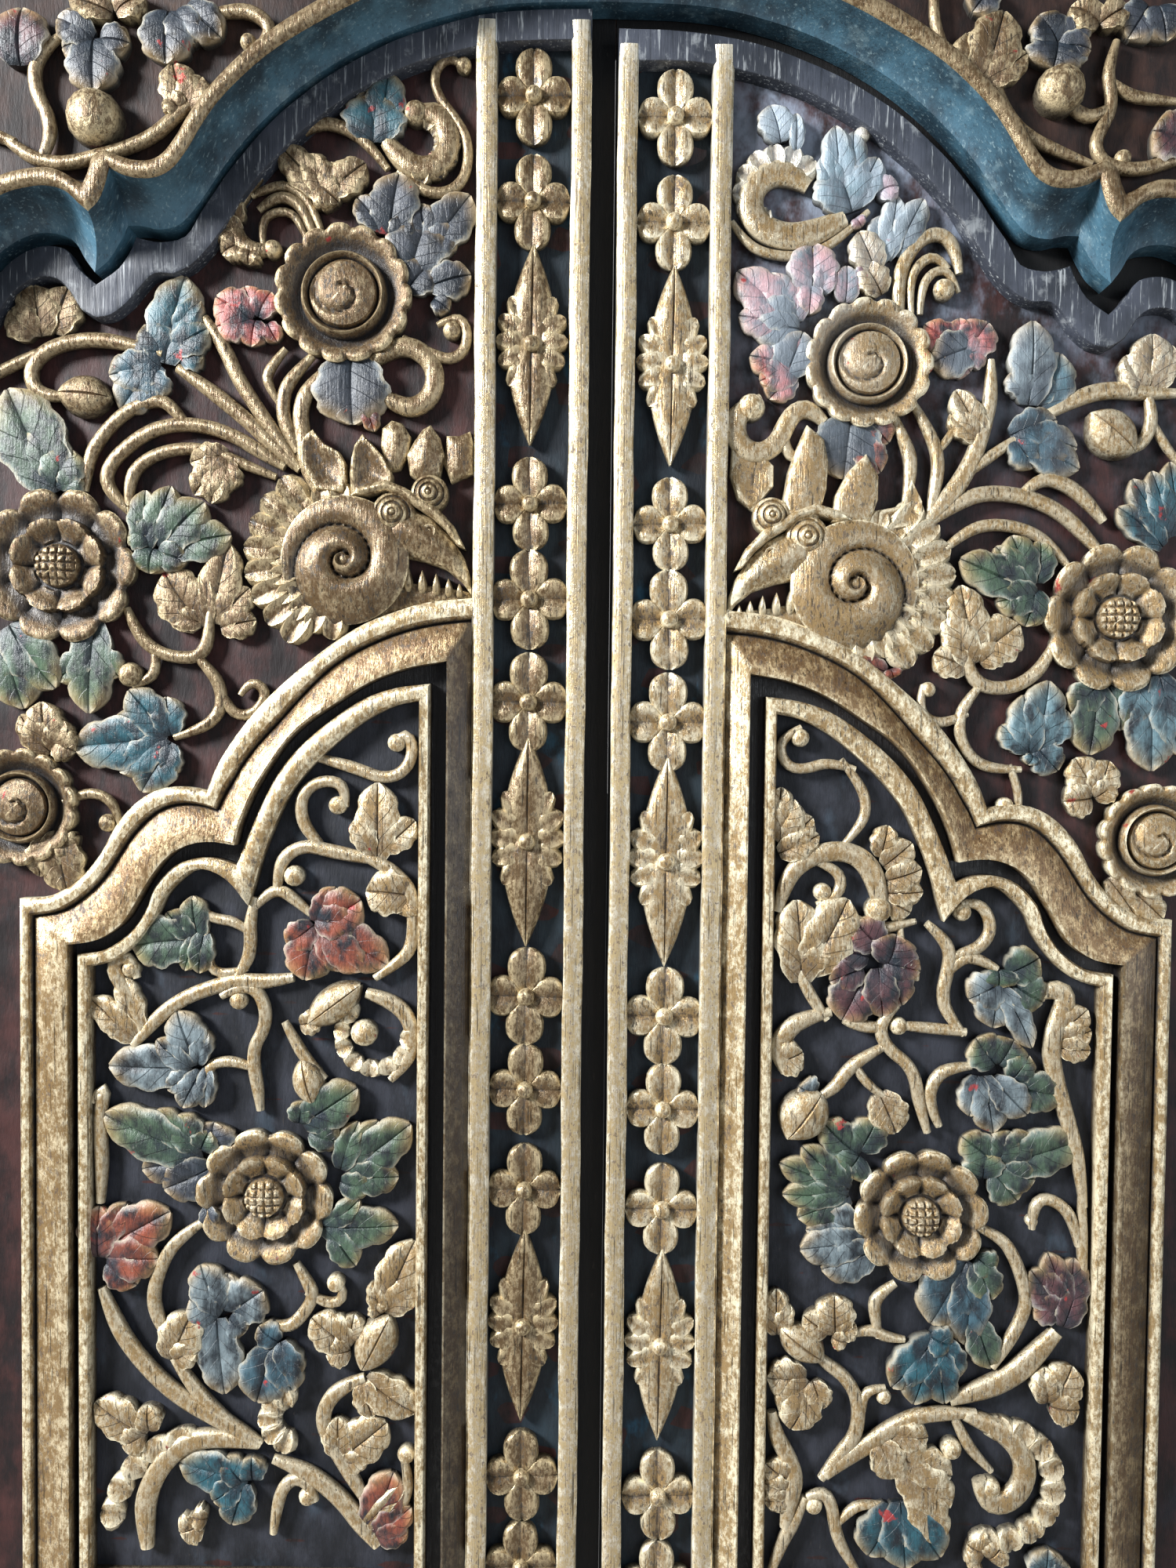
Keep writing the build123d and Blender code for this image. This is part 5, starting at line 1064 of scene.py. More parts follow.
rightPanel = {
    "rosettes": [(214, 286, 44, "check")],
    "fringes": [(268, 106, 34, 46, -110, 100, 9)],
    "buds": [(148, 366, 126, 336, 34), (152, 190, 124, 211, 24)],
    "balls": [(131, 597, 6), (147, 497, 6), (183, 486, 9), (198, 410, 6), (238, 485, 6), (193, 164, 5),
        (148, 91, 6), (264, 104, 7), (238, 130, 7), (288, 282, 4)],
    "stems": [
        (7, 6, [(163, 578), (150, 582), (136, 577), (125, 577), (118, 586), (119, 597), (128, 602)]),
        (7, 6, [(160, 580), (171, 567), (175, 552), (171, 540), (162, 530)]),
        (10, 15, [(119, 488), (123, 506), (136, 519), (154, 525), (171, 521), (182, 506), (184, 492)]),
        (7, 7, [(145, 516), (155, 513), (160, 503), (155, 493), (147, 490)]),
        (9, 10, [(149, 417), (140, 428), (134, 442)]),
        (8, 6, [(172, 479), (186, 473), (198, 477), (204, 478)]),
        (6, 6, [(198, 472), (198, 459), (209, 452), (209, 444)]),
        (10, 14, [(150, 418), (134, 414), (123, 404), (119, 392), (124, 383)]),
        (9, 9, [(238, 407), (222, 409), (205, 410)]),
        (10, 9, [(186, 409), (174, 408), (166, 412)]),
        (8, 8, [(194, 421), (186, 413), (187, 402), (194, 393), (204, 386), (210, 375), (212, 360),
            (217, 344)]),
        (8, 8, [(186, 395), (173, 388), (163, 378), (157, 368), (146, 362)]),
        (8, 7, [(170, 384), (175, 372), (186, 366)]),
        (8, 7, [(231, 455), (240, 458), (250, 462), (257, 472), (255, 484), (247, 492), (241, 491)]),
        (8, 8, [(218, 475), (226, 468), (231, 458), (229, 445), (226, 432), (229, 418), (238, 408)]),
        (8, 8, [(229, 445), (236, 455), (248, 456), (258, 450)]),
        (8, 8, [(224, 348), (218, 360), (221, 374), (230, 383), (242, 384)]),
        (8, 14, [(321, 296), (318, 320), (312, 342), (306, 360), (300, 380), (297, 398), (302, 415),
            (307, 428), (302, 437), (294, 434)]),
        (8, 7, [(318, 270), (315, 284), (305, 295), (294, 298), (288, 290), (288, 281)]),
        (7, 7, [(320, 300), (321, 280), (321, 260), (323, 242)]),
        (8, 8, [(255, 277), (268, 272), (277, 258), (283, 242), (286, 228), (280, 212), (272, 198),
            (266, 188)]),
        (15, 13, [(303, 206), (290, 191), (275, 178), (258, 170), (240, 164)]),
        (7, 6, [(178, 146), (178, 160), (182, 169), (190, 170)]),
        (9, 8, [(155, 112), (165, 126), (174, 136), (177, 150), (175, 165), (167, 178), (155, 186),
            (148, 192)]),
        (12, 9, [(158, 114), (172, 126), (186, 134), (199, 144), (215, 152), (235, 154), (250, 154)]),
        (13, 15, [(250, 152), (266, 146), (281, 134), (288, 118), (284, 102), (272, 93), (261, 97),
            (258, 106)]),
        (8, 7, [(240, 150), (246, 138), (252, 128), (262, 118)]),
        (8, 8, [(188, 208), (185, 222), (187, 232), (196, 238)]),
        (8, 7, [(174, 207), (186, 210), (192, 204), (202, 203)]),
        (9, 8, [(122, 50), (128, 68), (136, 80), (141, 93)]),
        (12, 10, [(130, 80), (132, 95), (136, 110), (130, 125), (122, 138), (120, 150)]),
        (8, 8, [(175, 50), (166, 64), (162, 78), (160, 92), (154, 101), (147, 98)]),
        (7, 6, [(165, 80), (172, 88), (180, 92), (190, 92)]),
    ],
    "leaves": [
        ("gold", [(117, 532, 128, 557, 18), (118, 528, 140, 545, 17), (118, 522, 144, 534, 15),
            (117, 540, 118, 565, 14)]),
        ("gold", [(184, 520, 188, 541, 13), (186, 514, 204, 530, 15), (188, 505, 211, 512, 15),
            (188, 497, 212, 497, 13), (190, 492, 204, 484, 14)]),
        ("gold", [(134, 438, 131, 492, 24), (138, 445, 165, 492, 26), (138, 448, 151, 464, 14)]),
        ("plum", [(184, 462, 168, 478, 20), (178, 455, 154, 462, 18), (174, 448, 152, 440, 17),
            (174, 442, 160, 414, 24), (184, 448, 186, 416, 18), (188, 448, 200, 424, 20),
            (188, 452, 211, 446, 16), (190, 450, 196, 470, 24)]),
        ("gold", [(118, 385, 136, 392, 18)]),
        ("mist", [(144, 364, 134, 370, 16)]),
        ("moss", [(173, 325, 149, 346, 18), (174, 328, 184, 349, 19), (174, 325, 164, 313, 22)]),
        ("moss", [(168, 302, 122, 320, 15), (166, 304, 136, 330, 15), (166, 305, 151, 330, 14),
            (166, 300, 124, 298, 14), (168, 298, 134, 284, 18)]),
        ("gold", [(186, 366, 198, 340, 20)]),
        ("mist", [(264, 440, 243, 428, 20), (262, 438, 258, 410, 20), (264, 436, 286, 398, 13)]),
        ("moss", [(268, 445, 288, 456, 20), (272, 438, 291, 426, 20), (262, 448, 262, 436, 20)]),
        ("moss", [(262, 385, 248, 402, 20), (264, 385, 273, 402, 22), (272, 375, 283, 392, 15),
            (272, 372, 306, 364, 20)]),
        ("mist", [(250, 378, 244, 352, 15), (254, 378, 260, 341, 18), (260, 376, 282, 353, 18)]),
        ("gold", [(300, 405, 320, 423, 16), (302, 402, 323, 409, 14), (302, 397, 323, 396, 13)]),
        ("moss", [(262, 322, 241, 338, 17), (265, 322, 272, 342, 17), (268, 322, 286, 340, 16),
            (268, 320, 317, 336, 23), (268, 315, 289, 310, 17), (262, 314, 278, 296, 19),
            (255, 310, 255, 328, 20)]),
        ("plum", [(310, 222, 288, 250, 20), (312, 222, 300, 262, 15), (312, 220, 316, 258, 19),
            (308, 222, 290, 228, 17), (310, 212, 318, 242, 16)]),
        ("gold", [(300, 162, 297, 186, 15), (302, 162, 316, 187, 21), (302, 160, 321, 158, 17)]),
        ("blue", [(246, 256, 222, 214, 30), (248, 250, 246, 200, 22)]),
        ("moss", [(252, 255, 262, 230, 18), (252, 258, 264, 250, 15), (252, 218, 262, 184, 17)]),
        ("teal", [(226, 205, 197, 172, 20), (222, 200, 213, 160, 19), (226, 200, 232, 161, 18),
            (230, 204, 241, 178, 16), (222, 206, 236, 200, 16)]),
        ("gold", [(196, 140, 216, 112, 24), (190, 136, 202, 112, 18), (200, 140, 222, 138, 15),
            (205, 125, 238, 112, 20), (205, 120, 236, 90, 24), (212, 110, 233, 68, 20)]),
        ("gold", [(262, 60, 250, 66, 18), (264, 56, 272, 66, 16), (258, 56, 250, 52, 14)]),
        ("sky", [(300, 42, 302, 64, 18), (305, 44, 318, 52, 16)]),
        ("gold", [(160, 206, 158, 232, 20), (156, 208, 139, 218, 14), (162, 206, 173, 214, 12),
            (158, 204, 168, 202, 10)]),
        ("gold", [(122, 205, 120, 236, 14), (122, 208, 130, 226, 10)]),
        ("gold", [(142, 176, 116, 176, 20), (144, 174, 124, 154, 18), (144, 170, 133, 142, 20),
            (146, 174, 153, 156, 14)]),
        ("gold", [(132, 108, 116, 119, 15), (132, 102, 115, 106, 13), (132, 97, 115, 94, 12)]),
        ("mist", [(185, 262, 150, 250, 22), (178, 268, 136, 264, 20), (178, 275, 148, 282, 22),
            (172, 272, 140, 276, 12)]),
        ("teal", [(200, 92, 185, 58, 24), (205, 95, 208, 50, 24), (210, 90, 232, 58, 22)]),
    ],
}
spandrelLeft = {
    "balls": [(-311, 957, 17), (-218, 1005, 5)],
    "stems": [
        (8, 8, [(-366, 945), (-356, 937), (-345, 932), (-330, 930), (-310, 935), (-290, 941), (-275, 948),
            (-262, 960), (-252, 968)]),
        (8, 8, [(-343, 935), (-338, 945), (-340, 960), (-346, 970), (-349, 985), (-344, 998), (-336, 1004)]),
        (9, 7, [(-242, 1020), (-224, 1025), (-208, 1019), (-203, 1009), (-211, 1002)]),
    ],
    "leaves": [
        ("slate", [(-312, 1005, -311, 973, 24), (-312, 1002, -331, 1000, 18), (-312, 1005, -334, 1016, 16),
            (-308, 1005, -290, 1002, 15)]),
        ("gold", [(-256, 962, -263, 991, 18), (-255, 964, -246, 983, 17), (-258, 962, -267, 971, 12)]),
        ("slate", [(-266, 1022, -268, 990, 24), (-262, 1022, -250, 1002, 18), (-256, 1024, -234, 1006, 18)]),
        ("plum", [(-356, 988, -356, 1022, 26)]),
        ("gold", [(-300, 1020, -326, 1028, 14), (-298, 1020, -280, 1030, 14)]),
    ],
}
spandrelRight = {
    "balls": [(277, 980, 15), (317, 941, 5)],
    "stems": [
        (7, 6, [(199, 1040), (199, 1028), (202, 1013), (209, 1001)]),
        (8, 7, [(236, 990), (240, 975), (250, 960), (262, 951), (275, 945), (294, 938)]),
        (7, 8, [(310, 1007), (306, 994), (308, 982), (309, 970), (303, 958), (299, 948), (304, 938),
            (315, 934), (330, 934), (345, 939), (366, 945)]),
        (9, 7, [(282, 973), (290, 966), (299, 965), (307, 970)]),
        (7, 7, [(309, 986), (317, 979), (330, 976), (345, 975)]),
    ],
    "leaves": [
        ("gold", [(227, 984, 219, 1014, 19), (230, 984, 242, 1027, 24), (233, 984, 256, 1002, 14)]),
        ("slate", [(275, 1008, 263, 1025, 17), (275, 1010, 272, 993, 27), (275, 1006, 295, 1005, 15),
            (278, 1008, 291, 1023, 15)]),
        ("plum", [(356, 950, 334, 957, 24)]),
        ("slate", [(330, 1032, 317, 1012, 20), (336, 1032, 340, 1010, 20)]),
        ("gold", [(300, 1020, 282, 1030, 15), (300, 1020, 316, 1030, 13)]),
        ("slate", [(236, 1042, 222, 1027, 16)]),
    ],
}
spandrelOuter = {
    "balls": [(0, 1090, 16)],
    "stems": [
        (10, 8, [(364, 944), (395, 957), (425, 952), (455, 930), (480, 902), (498, 868), (508, 830)]),
        (9, 7, [(425, 952), (446, 975), (448, 1000), (432, 1020), (408, 1018), (400, 1002)]),
        (9, 7, [(455, 930), (480, 950), (510, 955), (535, 940), (540, 916)]),
        (9, 8, [(6, 1084), (40, 1100), (90, 1106), (140, 1094), (190, 1068), (240, 1056), (290, 1066),
            (330, 1092), (370, 1098)]),
        (9, 7, [(448, 1000), (478, 1020), (492, 1050), (478, 1080), (450, 1090), (430, 1074)]),
    ],
    "leaves": [
        ("gold", [(446, 1000, 432, 1046, 24), (446, 1000, 470, 1040, 20)]),
        ("slate", [(498, 870, 532, 880, 24), (498, 868, 528, 856, 18)]),
        ("gold", [(508, 835, 506, 792, 24), (508, 835, 524, 806, 18), (508, 835, 492, 806, 18)]),
        ("gold", [(142, 1094, 128, 1072, 16), (146, 1092, 150, 1068, 18)]),
        ("slate", [(290, 1066, 312, 1052, 18), (292, 1068, 318, 1070, 18)]),
        ("gold", [(372, 1098, 392, 1080, 20), (372, 1098, 404, 1098, 20), (372, 1098, 388, 1116, 18)]),
        ("slate", [(510, 955, 530, 990, 26), (512, 952, 548, 970, 22)]),
    ],
}


# Lobed opening, as places across and heights from the crown
arch = {
    "opening": ((0, 0), (58, -2), (96, -9), (135, -22), (170, -40), (198, -60), (222, -83), (237, -101),
                (248, -117), (258, -131), (268, -141), (280, -144), (291, -142), (300, -142), (305, -152),
                (312, -163), (321, -171), (327, -163), (333, -153), (342, -148), (355, -147), (368, -151),
                (380, -159), (390, -170), (399, -184), (409, -199), (422, -211), (438, -220), (460, -226)),
    "cavetto": ((0, 10), (60, 8), (100, 0), (140, -15), (175, -33), (205, -52), (230, -75), (243, -92),
                (252, -107), (261, -119), (271, -125), (282, -126), (292, -124), (300, -120), (303, -131),
                (307, -140), (313, -146), (319, -141), (327, -134), (338, -131), (350, -132), (364, -136),
                (378, -145), (390, -158), (400, -173), (411, -188), (424, -200), (440, -209), (468, -215)),
    "bead": ((0, 21), (62, 19), (104, 10), (146, -5), (181, -23), (212, -44), (238, -69), (251, -86),
             (260, -101), (268, -111), (276, -115), (286, -115), (296, -112), (303, -109), (310, -113),
             (313, -122), (316, -129), (321, -127), (328, -123), (338, -120), (351, -121), (366, -125),
             (383, -135), (397, -151), (408, -167), (419, -181), (431, -191), (444, -198), (478, -205)),
    "cusps": (13, 16),
    "openingX": 460.0, "cavettoX": 468.0, "beadX": 478.0,
    "openingY": -17.0, "faceY": -45.0, "hollowSteps": 7,
    "curved": 0.65,           # the hollow is so much quarter circle, and slope for the rest
    # section across the bead: share of its width, depth, and how raised it is, which sets the gilding's painted
    # shade
    "beadSection": ((0, -1, 0), (0, -45.0, 0.7), (0.12, -47.0, 1), (0.35, -48.1, 1), (0.65, -48.2, 1),
                    (0.88, -47.0, 1), (1, -45.0, 0.7), (1, -32.5, 0), (1, -1, 0)),
    "boardFoot": 1760.0, "boardTop": 2150.0, "halfBoard": 580.0, "margin": 20.0, "marginFace": -44.8,
    "reliefGround": -33.0, "relief": 10.5,
}


def archRun(points, farX):
    run = eased(points[:-1] + ((farX, points[-1][1]),), arch["cusps"])
    half = [(x, door["crown"] + z) for x, z in run] + [(farX, arch["boardFoot"])]
    return np.array([(-x, z) for x, z in half[:0:-1]] + half)


# A row of points that lies some way from one run to another
def rowBetween(one, other, share, y):
    flat = one + (other - one) * share
    return np.stack((flat[:, 0], np.full(len(flat), y), flat[:, 1]), 1)


def archHollow(inner, front, outer):
    opening, face, steps, curved = (arch[k] for k in ("openingY", "faceY", "hollowSteps", "curved"))
    rows = [rowBetween(inner, front, 0, 0.0), rowBetween(inner, front, 0, opening + 2)]
    for k in range(steps + 1):
        even, turn = k / steps, math.radians(90 * k / steps)
        share = curved * math.sin(turn) + (1 - curved) * even
        forward = curved * (1 - math.cos(turn)) + (1 - curved) * even
        rows.append(rowBetween(inner, front, share, opening + (face - opening) * forward))
    rows += [rowBetween(front, outer, 0.02, face + 0.5), rowBetween(front, outer, 0.02, 0.0)]
    hollow = Carving("head_board_cavetto")
    hollow.rows(rows, closed=True, rim=[0.3, 0.6, 0.9] + [0.1] * (steps - 1) + [0.9, 0.9, 0])
    hollow.made("frame", "painted_frame", [finishes["cavetto"]])


def archBead(front, outer):
    section = arch["beadSection"]
    bead = Carving("head_board_bead")
    bead.rows([rowBetween(front, outer, share, y) for share, y, rise in section], closed=True,
              rise=[rise for share, y, rise in section])
    bead.made("frame", "painted_frame", [finishes["darkGilt"]])


# The ground of the carved corners, and the margin round the board
def boardGround(outer):
    half, foot, head, margin = (arch[k] for k in ("halfBoard", "boardFoot", "boardTop", "margin"))
    side, crown = half - 1, head - 1        # just inside the margin, so that no two faces coincide
    outline = [(-side, foot), *map(tuple, outer), (side, foot), (side, crown), (-side, crown)]
    board = Carving("head_board_ground")
    domed(board, outline, 0.0, arch["reliefGround"], 0.5, 9.0, 0.1, wander=0.8)
    board.made("frame", "painted_frame", [finishes["board"]], ["head_board"])
    edge = Carving("head_board_margin")
    for x0, x1, z0, z1 in ((-half, half, head - margin, head), (-half, margin - half, foot, head),
                           (half - margin, half, foot, head)):
        bar(edge, x0, x1, z0, z1, -1, arch["marginFace"], wander=0)
    edge.made("frame", "painted_frame", [finishes["border"]])


# The outer corner's scroll is carved on both sides, the two inner ones are each their own
def headBoard():
    inner, front, outer = (archRun(arch[k], arch[k + "X"]) for k in ("opening", "cavetto", "bead"))
    archHollow(inner, front, outer)
    archBead(front, outer)
    boardGround(outer)
    ground, relief = arch["reliefGround"], arch["relief"]
    carved = Carving("head_board_leaves")
    corners = ((spandrelLeft, 1, 40, "a"), (spandrelRight, 1, 41, "b"), (spandrelOuter, 1, 42, "c"),
               (spandrelOuter, -1, 42, "cm"))
    for table, flip, seed, ending in corners:
        motifs(carved, table, ground, relief, 0, flip, seed)
        stems("head_board_vines_" + ending, table, ground, relief, 0, flip, "frame", "darkGilt")
    carved.made("frame", "painted_frame", [finishes["darkCarving"]])


stemForm = {
    "runOn": 4,               # how far each end goes on into what it springs from
    "tip": 0.6, "full": 1.06, "fullness": 0.45,
    "Step": 0.0035, "Sides": 10,
}


def stems(name, table, ground, relief, drop, flip, body, finish):
    form = stemForm
    curve = bpy.data.curves.new(name, "CURVE")
    curve.dimensions = "3D"
    for start, end, line in table["stems"]:
        ends = [tuple(a + (a - b) / math.dist(tip, near) * form["runOn"] for a, b in zip(tip, near))
                for tip, near in (line[:2], line[:-3:-1])]
        line = [ends[0], *line[1:-1], ends[1]]
        last = len(line) - 1
        spline = curve.splines.new("NURBS")
        spline.points.add(last)
        for k, (point, (x, z)) in enumerate(zip(spline.points, line)):
            px, pz = place(flip * x, z, drop)
            point.co = (px / 1000, 0, pz / 1000, 1)
            thin = form["tip"] if k in (0, last) else 1.0
            point.radius = (start + (end - start) * (k / last)) / 2000 * thin * form["full"]
        spline.order_u = 3
        spline.use_endpoint_u = True
    values = {"Step": form["Step"], "Sides": form["Sides"], "Ground": ground / 1000, "Relief": relief / 1000,
              "Fullness": relief * form["fullness"] / 1000, "Material": finishes[finish]}
    rides(stood(name, grown(name + "_line", curve, trees["stems"], values)), body)


# A straight rail with eased edges, cut by hand and so never quite straight
def bar(carving, x0, x1, z0, z1, back, front, wander=0.35, seed=3):
    ease = 1.6
    upright = (z1 - z0) > (x1 - x0)
    start, end, low, high = (z0, z1, x0, x1) if upright else (x0, x1, z0, z1)
    section = ((low, back), (low, front + ease), (low + ease * 0.4, front + ease * 0.35), (low + ease, front),
               ((low + high) / 2, front - 0.3), (high - ease, front), (high - ease * 0.4, front + ease * 0.35),
               (high, front + ease), (high, back))
    n, cuts = len(section), max(2, int((end - start) / 18))
    points = []
    for k in range(cuts + 1):
        at = start + (end - start) * k / cuts
        shift = wander * (math.sin(at * 0.037 + seed) + 0.6 * math.sin(at * 0.11 + seed * 2.3))
        for j, (side, y) in enumerate(section):
            if 0 < j < n - 1:
                side, y = side + shift, y + shift * 0.5
            points.append((side, y, at) if upright else (at, y, side))
    faces = between(cuts + 1, n, around=True) + [list(range(n))[::-1], [cuts * n + j for j in range(n)]]
    if not upright:
        faces = [face[::-1] for face in faces]
    # the rail's sides have low rise, painted darker as shade
    rise = np.tile([0, .7, 1, 1, 1, 1, 1, .7, 0], cuts + 1)
    rim = np.tile([0, 1, 1, .5, 0, .5, 1, 1, 0], cuts + 1)
    carving.add(points, faces, rim, rise)


panel = {
    "heads": (
        ((81, 672), (110, 669), (130, 663), (150, 655), (165, 646), (180, 635), (197, 621), (210, 609),
         (222, 596), (232, 583), (240, 571), (246, 560), (251, 547), (262, 549), (275, 549), (285, 546),
         (295, 540), (305, 530), (312, 520), (318, 508), (325, 498), (335, 487), (345, 481), (355, 477),
         (372, 476)),
        ((81, 658), (100, 656), (120, 652), (140, 645), (160, 635), (175, 624), (190, 609), (205, 592),
         (218, 578), (228, 565), (235, 553), (240, 545), (245, 534), (255, 537), (268, 538), (280, 535),
         (290, 528), (300, 517), (308, 505), (318, 490), (330, 478), (345, 468), (364, 464)),
        ((97, 631), (120, 627), (140, 620), (155, 612), (170, 602), (185, 592), (198, 580), (210, 563),
         (220, 546), (228, 527), (232, 512), (245, 514), (258, 513), (270, 508), (280, 499), (290, 484),
         (298, 470), (305, 460), (318, 451), (330, 448), (339, 447)),
        ((108, 617), (130, 614), (150, 607), (170, 594), (190, 577), (205, 559), (215, 540), (225, 517),
         (229, 506), (232, 499), (245, 503), (258, 503), (272, 498), (285, 484), (290, 470), (300, 455),
         (315, 444), (325, 441), (335, 440)),
        ((115, 606), (130, 603), (148, 594), (165, 581), (183, 564), (198, 545), (208, 524), (216, 503),
         (221, 485), (225, 473), (229, 478), (236, 487), (246, 494), (257, 496), (268, 489), (278, 478),
         (284, 464), (296, 448), (308, 438), (318, 434), (327, 432)),
    ),
    "cusps": (12, 12, 10, 9, 9),
    "steps": (0.0, 8.0, 32.0, 38.0, 46.0),
    "foot": 984.0, "lowHead": 930.0, "lowFoot": 170.0,
    # the band gets painted shade on one upright of each leaf and a painted highlight on the other, as for light
    # from the left
    "shaded": {-1: slice(0, 7), 1: slice(62, 71)}, "shade": {-1: 0.3, 1: 0.45},
    "lit": {-1: slice(62, 71), 1: slice(0, 7)}, "light": {-1: 0.6, 1: 1.0},
    # cuts along the near side, both parts of the head, the far side and the foot
    "pieces": (6, 34, 22, 8, 10),
    # section across the mouldings: outline, share towards the next one, depth, rise (low rise gets painted
    # shade) and rim for the gilding
    "section": ((0, 0.00, -3.4, 0.0, 1), (0, 0.00, -13.6, 0.7, 1), (0, 0.14, -15.6, 1, 1),
                (0, 0.45, -16.6, 1, 1), (0, 0.78, -15.8, 1, 1), (0, 0.93, -12.8, 0.4, 1),
                (1, 0.00, -10.6, 0.1, 0.3), (1, 0.07, -12.6, 0.7, 0.2), (1, 0.50, -16.0, 1, 0),
                (1, 0.91, -19.4, 1, 0.3), (1, 0.99, -18.8, 1, 1), (2, 0.00, -5.4, 0.0, 0),
                (2, 0.97, -5.2, 0.0, 0), (3, 0.00, -13.6, 0.7, 1), (3, 0.16, -15.7, 1, 1),
                (3, 0.50, -16.4, 1, 1), (3, 0.84, -15.6, 1, 1), (3, 1.00, -13.4, 0.7, 1),
                (3, 1.00, -3.4, 0.0, 0)),
    "borderEdge": ((0, -23), (55, -24), (92, -30), (129, -42), (161, -59), (187, -78), (209, -99),
                   (224, -117), (236, -135), (247, -151), (260, -165), (272, -171), (284, -171), (292, -178),
                   (301, -189), (311, -197), (321, -199), (331, -193), (338, -182), (346, -175), (357, -174),
                   (366, -178), (376, -187), (386, -200), (396, -213), (408, -227), (425, -239), (460, -246)),
    "borderCusps": (11, 16),
}


# The five outlines of a panel's mouldings, from the outer edge inwards
def outlines(flip, drop, lower):
    runs = []
    for k, (head, step) in enumerate(zip(panel["heads"], panel["steps"])):
        if lower:
            near, far = head[0][0], head[-1][0]
            foot, top = panel["lowFoot"] + step, panel["lowHead"] - step
            first, second = [(near, top), ((near + far) / 2, top)], [((near + far) / 2, top), (far, top)]
        else:
            cusp = panel["cusps"][k]
            line = [place(x, z, drop) for x, z in head]
            first, second = eased(line[:cusp + 1]), eased(line[cusp:])
            near, far, foot = line[0][0], line[-1][0], panel["foot"] + step
        near = near - (0.6 if k == 0 else 0)
        sides = ([(near, foot), first[0]], first, second, [second[-1], (far, foot)],
                 [(far, foot), (near, foot)])
        run = np.concatenate([evenly(side, count + 1)[:-1] for side, count in zip(sides, panel["pieces"])])
        runs.append(run * (flip, 1))
    return runs


# Carves the mouldings round a panel and returns the outline of the ground that they frame
def mouldings(carving, flip, drop, lower):
    runs = outlines(flip, drop, lower)
    rows, rises, rims = [], [], []
    for k, share, y, rise, rim in panel["section"]:
        row = rowBetween(runs[k], runs[min(k + 1, 4)], share, y)
        rows.append(np.concatenate((row, row[:1])))
        rises.append(np.full(len(row) + 1, float(rise)))
        rims.append(np.full(len(row) + 1, float(rim)))
        # on the band: painted shade on one upright, painted highlight on the other
        if k == 1:
            lit = panel["lit"][flip]
            rises[-1][panel["shaded"][flip]] *= panel["shade"][flip]
            rims[-1][lit] = np.maximum(rims[-1][lit], panel["light"][flip])
    carving.rows(rows, closed=True, rise=rises, rim=rims)
    return [tuple(p) for p in runs[3] + (runs[4] - runs[3]) * 0.5]


leafLayout = {
    "rails": ((8.5, 21.0), (68.0, 81.0), (441.0, 454.0)), "railFace": -16.4, "railTop": {-1: 2034.0, 1: 2020.0},
    "crossRails": (80.5, 442.0), "crossFace": -16.0,
    "strip": (18, 71), "field": (79, 443),       # grounds run on under the rails
    "layerBack": 1.5, "layerFace": -3.7, "groundBack": -3, "panelGround": -4.3, "borderFace": -16.0,
    "relief": 9.5, "heel": 12.0, "archGap": 3.0, "lobeGap": 7.0,
}


def mirrored(side, line):
    return [(side * x, z) for x, z in line]


# Leaf's carved face: its outline lies inside the opening by a working gap
def faceRun(drop):
    line, moved = arch["opening"], []
    for i, (x, z) in enumerate(line):
        (px, pz), (nx, nz) = line[max(i - 1, 0)], line[min(i + 1, len(line) - 1)]
        gap = leafLayout["archGap"] if i < 10 else leafLayout["lobeGap"]
        run = math.hypot(nx - px, nz - pz)
        moved.append((min(x + (nz - pz) / run * gap, door["far"]), z - (nx - px) / run * gap))
    moved[-1] = (door["far"], moved[-1][1])
    return [(x, z + door["crown"] - drop) for x, z in eased(tuple(moved), arch["cusps"], 3)]


# The face's head and the lower edge of its border, from the meeting line outwards
def leafEdges(drop):
    near, far = door["near"], door["far"]
    head = faceRun(drop)
    edge = [(x, z + door["crown"] - drop) for x, z in eased(panel["borderEdge"], panel["borderCusps"], 3)]
    return ([(near, head[0][1])] + [p for p in head if p[0] > near + 2],
            [(near, edge[0][1])] + [p for p in edge if near + 2 < p[0] < far])


# The plank with its rounded heel, and the layer that the carving stands in
def leafPlank(name, side, head):
    lay, front, back, foot, top = leafLayout, *(door[k] for k in ("front", "back", "foot", "top"))
    plank = Carving(name + "_plank")
    x0, x1 = sorted((door["meeting"] + side * door["slit"] / 2, side * door["pivotX"]))
    box(plank, x0, x1, front, back, foot, top)
    for face in (2, 1 if side < 0 else 0):      # the front and meeting edge, painted near black as a painted shadow in the slit
        plank.slots[face] = 2
    heel(plank, side * door["pivotX"], (front + back) / 2, lay["heel"], foot, top)
    layer = mirrored(side, [(door["near"], foot), (door["far"], foot)] + head[::-1])
    domed(plank, layer, lay["layerBack"], lay["layerFace"], 0.5, 12, 0.1, slot=1)
    plank.made(name, "leaf_wood", [finishes[k] for k in ("backWood", "field", "slitShadow")], [name])


def leafGrounds(name, side, edge, patches):
    lay, foot, back, front = leafLayout, door["foot"], leafLayout["groundBack"], door["ground"]
    grounds = Carving(name + "_ground")
    (x0, x1), under = lay["strip"], panel["foot"] - 4
    strip = [(x0, foot), (x1, foot), (x1, edge[3][1] + 5), (x0, edge[1][1] + 5)]
    domed(grounds, mirrored(side, strip), back, front, 0.5, 10, 0.1, wander=0.6)
    x0, x1 = lay["field"]
    field = [(x0, under), (x1, under)] + [p for p in edge[::-1] if x0 < p[0] < x1]
    domed(grounds, mirrored(side, field), back, front, 0.5, 8, 0.1, wander=0.9, slot=1)
    for patch in patches:
        domed(grounds, patch, back, lay["panelGround"], 0.5, 8, 0.1, wander=0.6, slot=2)
    grounds.made(name, "leaf_wood", [finishes[k] for k in ("stile", "field", "panel")])


